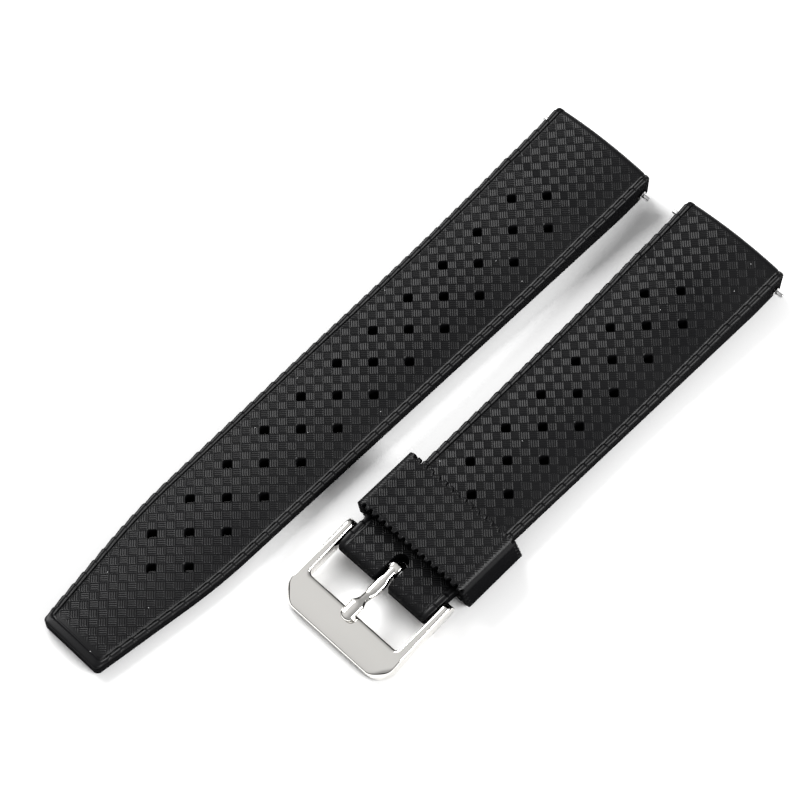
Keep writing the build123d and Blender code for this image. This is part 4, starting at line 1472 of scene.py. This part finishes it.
def cloudy_material(name, finish, colours, stops, roughness, scales=()):
    """Material with the shared grain: its colour and roughness follow the clouds, and its bump the grain.

    Returns the material, its shader, the grain, and the sockets of its colour and roughness."""
    material = bpy.data.materials.new(name)
    material.use_nodes = True
    tree = material.node_tree
    shader = tree.nodes["Principled BSDF"]
    grain = add_node(tree, "Group", scales, node_tree=grain_group())
    cloud = grain.outputs["Cloud"]
    ramp = add_node(tree, "ValToRGB", {"Fac": cloud})
    set_stops(ramp, stops, colours)
    rough = add_node(tree, "MapRange", {"Value": cloud, "To Min": roughness[0], "To Max": roughness[1]})
    bump = add_node(tree, "Bump", {
        "Height": grain.outputs["Height"], "Strength": finish.grain, "Distance": finish.grain_height,
    })
    tint, roughness = ramp.outputs["Color"], rough.outputs["Result"]
    feed(tree, shader, {"Base Color": tint, "Roughness": roughness, "Normal": bump.outputs["Normal"]})
    return material, shader, grain, tint, roughness


def rubber_material(name):
    """Moulded rubber: near black with cloudy dry places, a fine grain and a few specks of pale dust.

    Its upright faces are rougher, and have less of the soft sheen than the faces that look up."""
    if name in bpy.data.materials:
        return bpy.data.materials[name]
    finish = bpy.context.scene.strap_rubber
    span = (finish.roughness - finish.spread / 3, finish.roughness + finish.spread * 2 / 3)
    material, shader, grain, tint, roughness = cloudy_material(
        name, finish, (finish.deep, finish.worn), (0.35, 0.75), span
    )
    tree = material.node_tree
    dusty = add_node(tree, "Mix", data_type="RGBA")
    feed(tree, dusty, {"Factor": grain.outputs["Specks"], "A": tint, "B": (*[finish.dust] * 3, 1)})
    steep, level = 0.1, 0.55
    normal = add_node(tree, "TexCoord").outputs["Normal"]
    upward = add_node(tree, "SeparateXYZ", {"Vector": normal}).outputs["Z"]
    flank = add_node(tree, "MapRange", {
        "Value": upward, "From Min": level, "From Max": steep, "To Max": finish.flank,
    })
    sheen = add_node(tree, "MapRange", {
        "Value": upward, "From Min": steep, "From Max": level, "To Max": finish.sheen,
    })
    total = add_node(tree, "Math", {0: roughness, 1: flank.outputs["Result"]})
    feed(tree, shader, {
        "Base Color": dusty.outputs["Result"], "Roughness": total.outputs[0],
        "Coat Weight": sheen.outputs["Result"], "Coat Roughness": finish.roughness,
        "Specular IOR Level": finish.specular,
    })
    return material


def steel_material(name, tint=None, roughness=None):
    """Polished or drawn steel: slight cloudiness in the tint and roughness, and a very fine grain."""
    if name in bpy.data.materials:
        return bpy.data.materials[name]
    finish = bpy.context.scene.strap_steel
    tint = finish.tint if tint is None else tint
    roughness = finish.roughness if roughness is None else roughness
    material, shader, *_ = cloudy_material(
        name, finish, ([finish.cloudy * channel for channel in tint], tint), (0, 1),
        (roughness * 0.8, roughness * 1.3), {"Grain Scale": 3000, "Cloud Scale": 180},
    )
    shader.inputs["Metallic"].default_value = 1
    return material


def softbox(name, direction, distance, width, height, power):
    """Rectangular area light that hangs in a direction from the strap and looks at it."""
    light = bpy.data.lights.new(name, "AREA")
    light.shape = "RECTANGLE"
    light.size, light.size_y, light.energy = width, height, power
    lamp = bpy.data.objects.new(name, light)
    away = Vector(direction).normalized()
    lamp.location = away * distance
    lamp.rotation_mode = "QUATERNION"
    lamp.rotation_quaternion = away.to_track_quat("Z", "Y")
    bpy.context.scene.collection.objects.link(lamp)


def studio_floor(stage):
    """Pale floor just under the strap."""
    reach, drop = stage.floor_reach, -stage.floor_gap
    corners = [(-reach, -reach, drop), (reach, -reach, drop), (reach, reach, drop), (-reach, reach, drop)]
    floor = build_object("studio_floor", corners, [([[0, 1, 2, 3]], False)])
    paint = bpy.data.materials.new("floor_paint")
    paint.use_nodes = True
    feed(paint.node_tree, paint.node_tree.nodes["Principled BSDF"], {
        "Base Color": (*stage.floor, 1), "Roughness": 0.9, "Specular IOR Level": 0.1,
    })
    floor.data.materials.append(paint)


def studio_air(stage):
    """Surrounding light: brightest to one side, and dark in a band along the horizon."""
    world = bpy.data.worlds.new("studio_air")
    world.use_nodes = True
    tree = world.node_tree
    toward = add_node(tree, "TexCoord").outputs["Generated"]
    facing = add_node(tree, "VectorMath", {0: toward, 1: stage.bright_side}, operation="DOT_PRODUCT")
    strength = add_node(tree, "MapRange", {
        "Value": facing.outputs["Value"], "From Min": 0.42, "From Max": 0.82,
        "To Min": stage.shade * stage.ambient, "To Max": stage.ambient,
    })
    upward = add_node(tree, "SeparateXYZ", {"Vector": toward}).outputs["Z"]
    band = add_node(tree, "ValToRGB", {"Fac": upward})
    set_stops(band, (0.2, 0.42), ([stage.horizon] * 3, (1, 1, 1)))
    feed(tree, tree.nodes["Background"], {
        "Strength": strength.outputs["Result"], "Color": band.outputs["Color"],
    })
    return world


class STRAP_OT_stage(bpy.types.Operator):
    """Set the pale floor, soft studio light and camera"""

    bl_idname = "strap.stage"
    bl_label = "Stage"

    def execute(self, context):
        scene = context.scene
        stage = scene.strap_stage
        studio_floor(stage)
        scene.world = studio_air(stage)
        distance = stage.lamp_distance
        softbox("key_softbox", stage.key_side, distance, stage.key_width, stage.key_height, stage.key)
        softbox("rim_softbox", stage.rim_side, distance, stage.rim_width, stage.rim_height, stage.rim)
        ahead = Vector(stage.ahead).normalized()
        right = Vector(stage.right).normalized()
        up = right.cross(ahead)
        camera_data = bpy.data.cameras.new("studio_camera")
        camera_data.sensor_width = 36.0
        camera_data.lens = stage.focal_pixels / stage.frame_pixels * camera_data.sensor_width
        camera_data.clip_start, camera_data.clip_end = 0.01, 20.0
        camera = bpy.data.objects.new("studio_camera", camera_data)
        basis = Matrix((right, up, -ahead)).transposed().to_4x4()
        camera.matrix_world = Matrix.Translation(Vector(stage.eye)) @ basis
        scene.collection.objects.link(camera)
        scene.camera = camera
        scene.view_settings.view_transform = "Standard"
        return {"FINISHED"}


OPERATORS = (
    STRAP_OT_long_half,
    STRAP_OT_short_half,
    STRAP_OT_keeper,
    STRAP_OT_buckle_frame,
    STRAP_OT_tongue,
    STRAP_OT_spring_bars,
    STRAP_OT_stage,
)


class STRAP_PT_panel(bpy.types.Panel):
    """Buttons for each piece of the strap"""

    bl_label = "Dive strap"
    bl_idname = "STRAP_PT_panel"
    bl_space_type = "VIEW_3D"
    bl_region_type = "UI"
    bl_category = "Dive Strap"

    def draw(self, context):
        for operator in OPERATORS:
            self.layout.operator(operator.bl_idname)


def register():
    """Adds the settings, the operators and the panel."""
    for group in GROUPS.values():
        bpy.utils.register_class(group)
    for operator in OPERATORS:
        bpy.utils.register_class(operator)
    bpy.utils.register_class(STRAP_PT_panel)
    for name, group in GROUPS.items():
        setattr(bpy.types.Scene, name, PointerProperty(type=group))


def unregister():
    """Takes them all away again."""
    for name in GROUPS:
        delattr(bpy.types.Scene, name)
    bpy.utils.unregister_class(STRAP_PT_panel)
    for operator in reversed(OPERATORS):
        bpy.utils.unregister_class(operator)
    for group in reversed(list(GROUPS.values())):
        bpy.utils.unregister_class(group)


def main():
    """Builds every piece and the stage in order."""
    register()
    bpy.ops.strap.long_half()
    bpy.ops.strap.short_half()
    bpy.ops.strap.keeper()
    bpy.ops.strap.buckle_frame()
    bpy.ops.strap.tongue()
    bpy.ops.strap.spring_bars()
    bpy.ops.strap.stage()


if __name__ == "__main__":
    main()
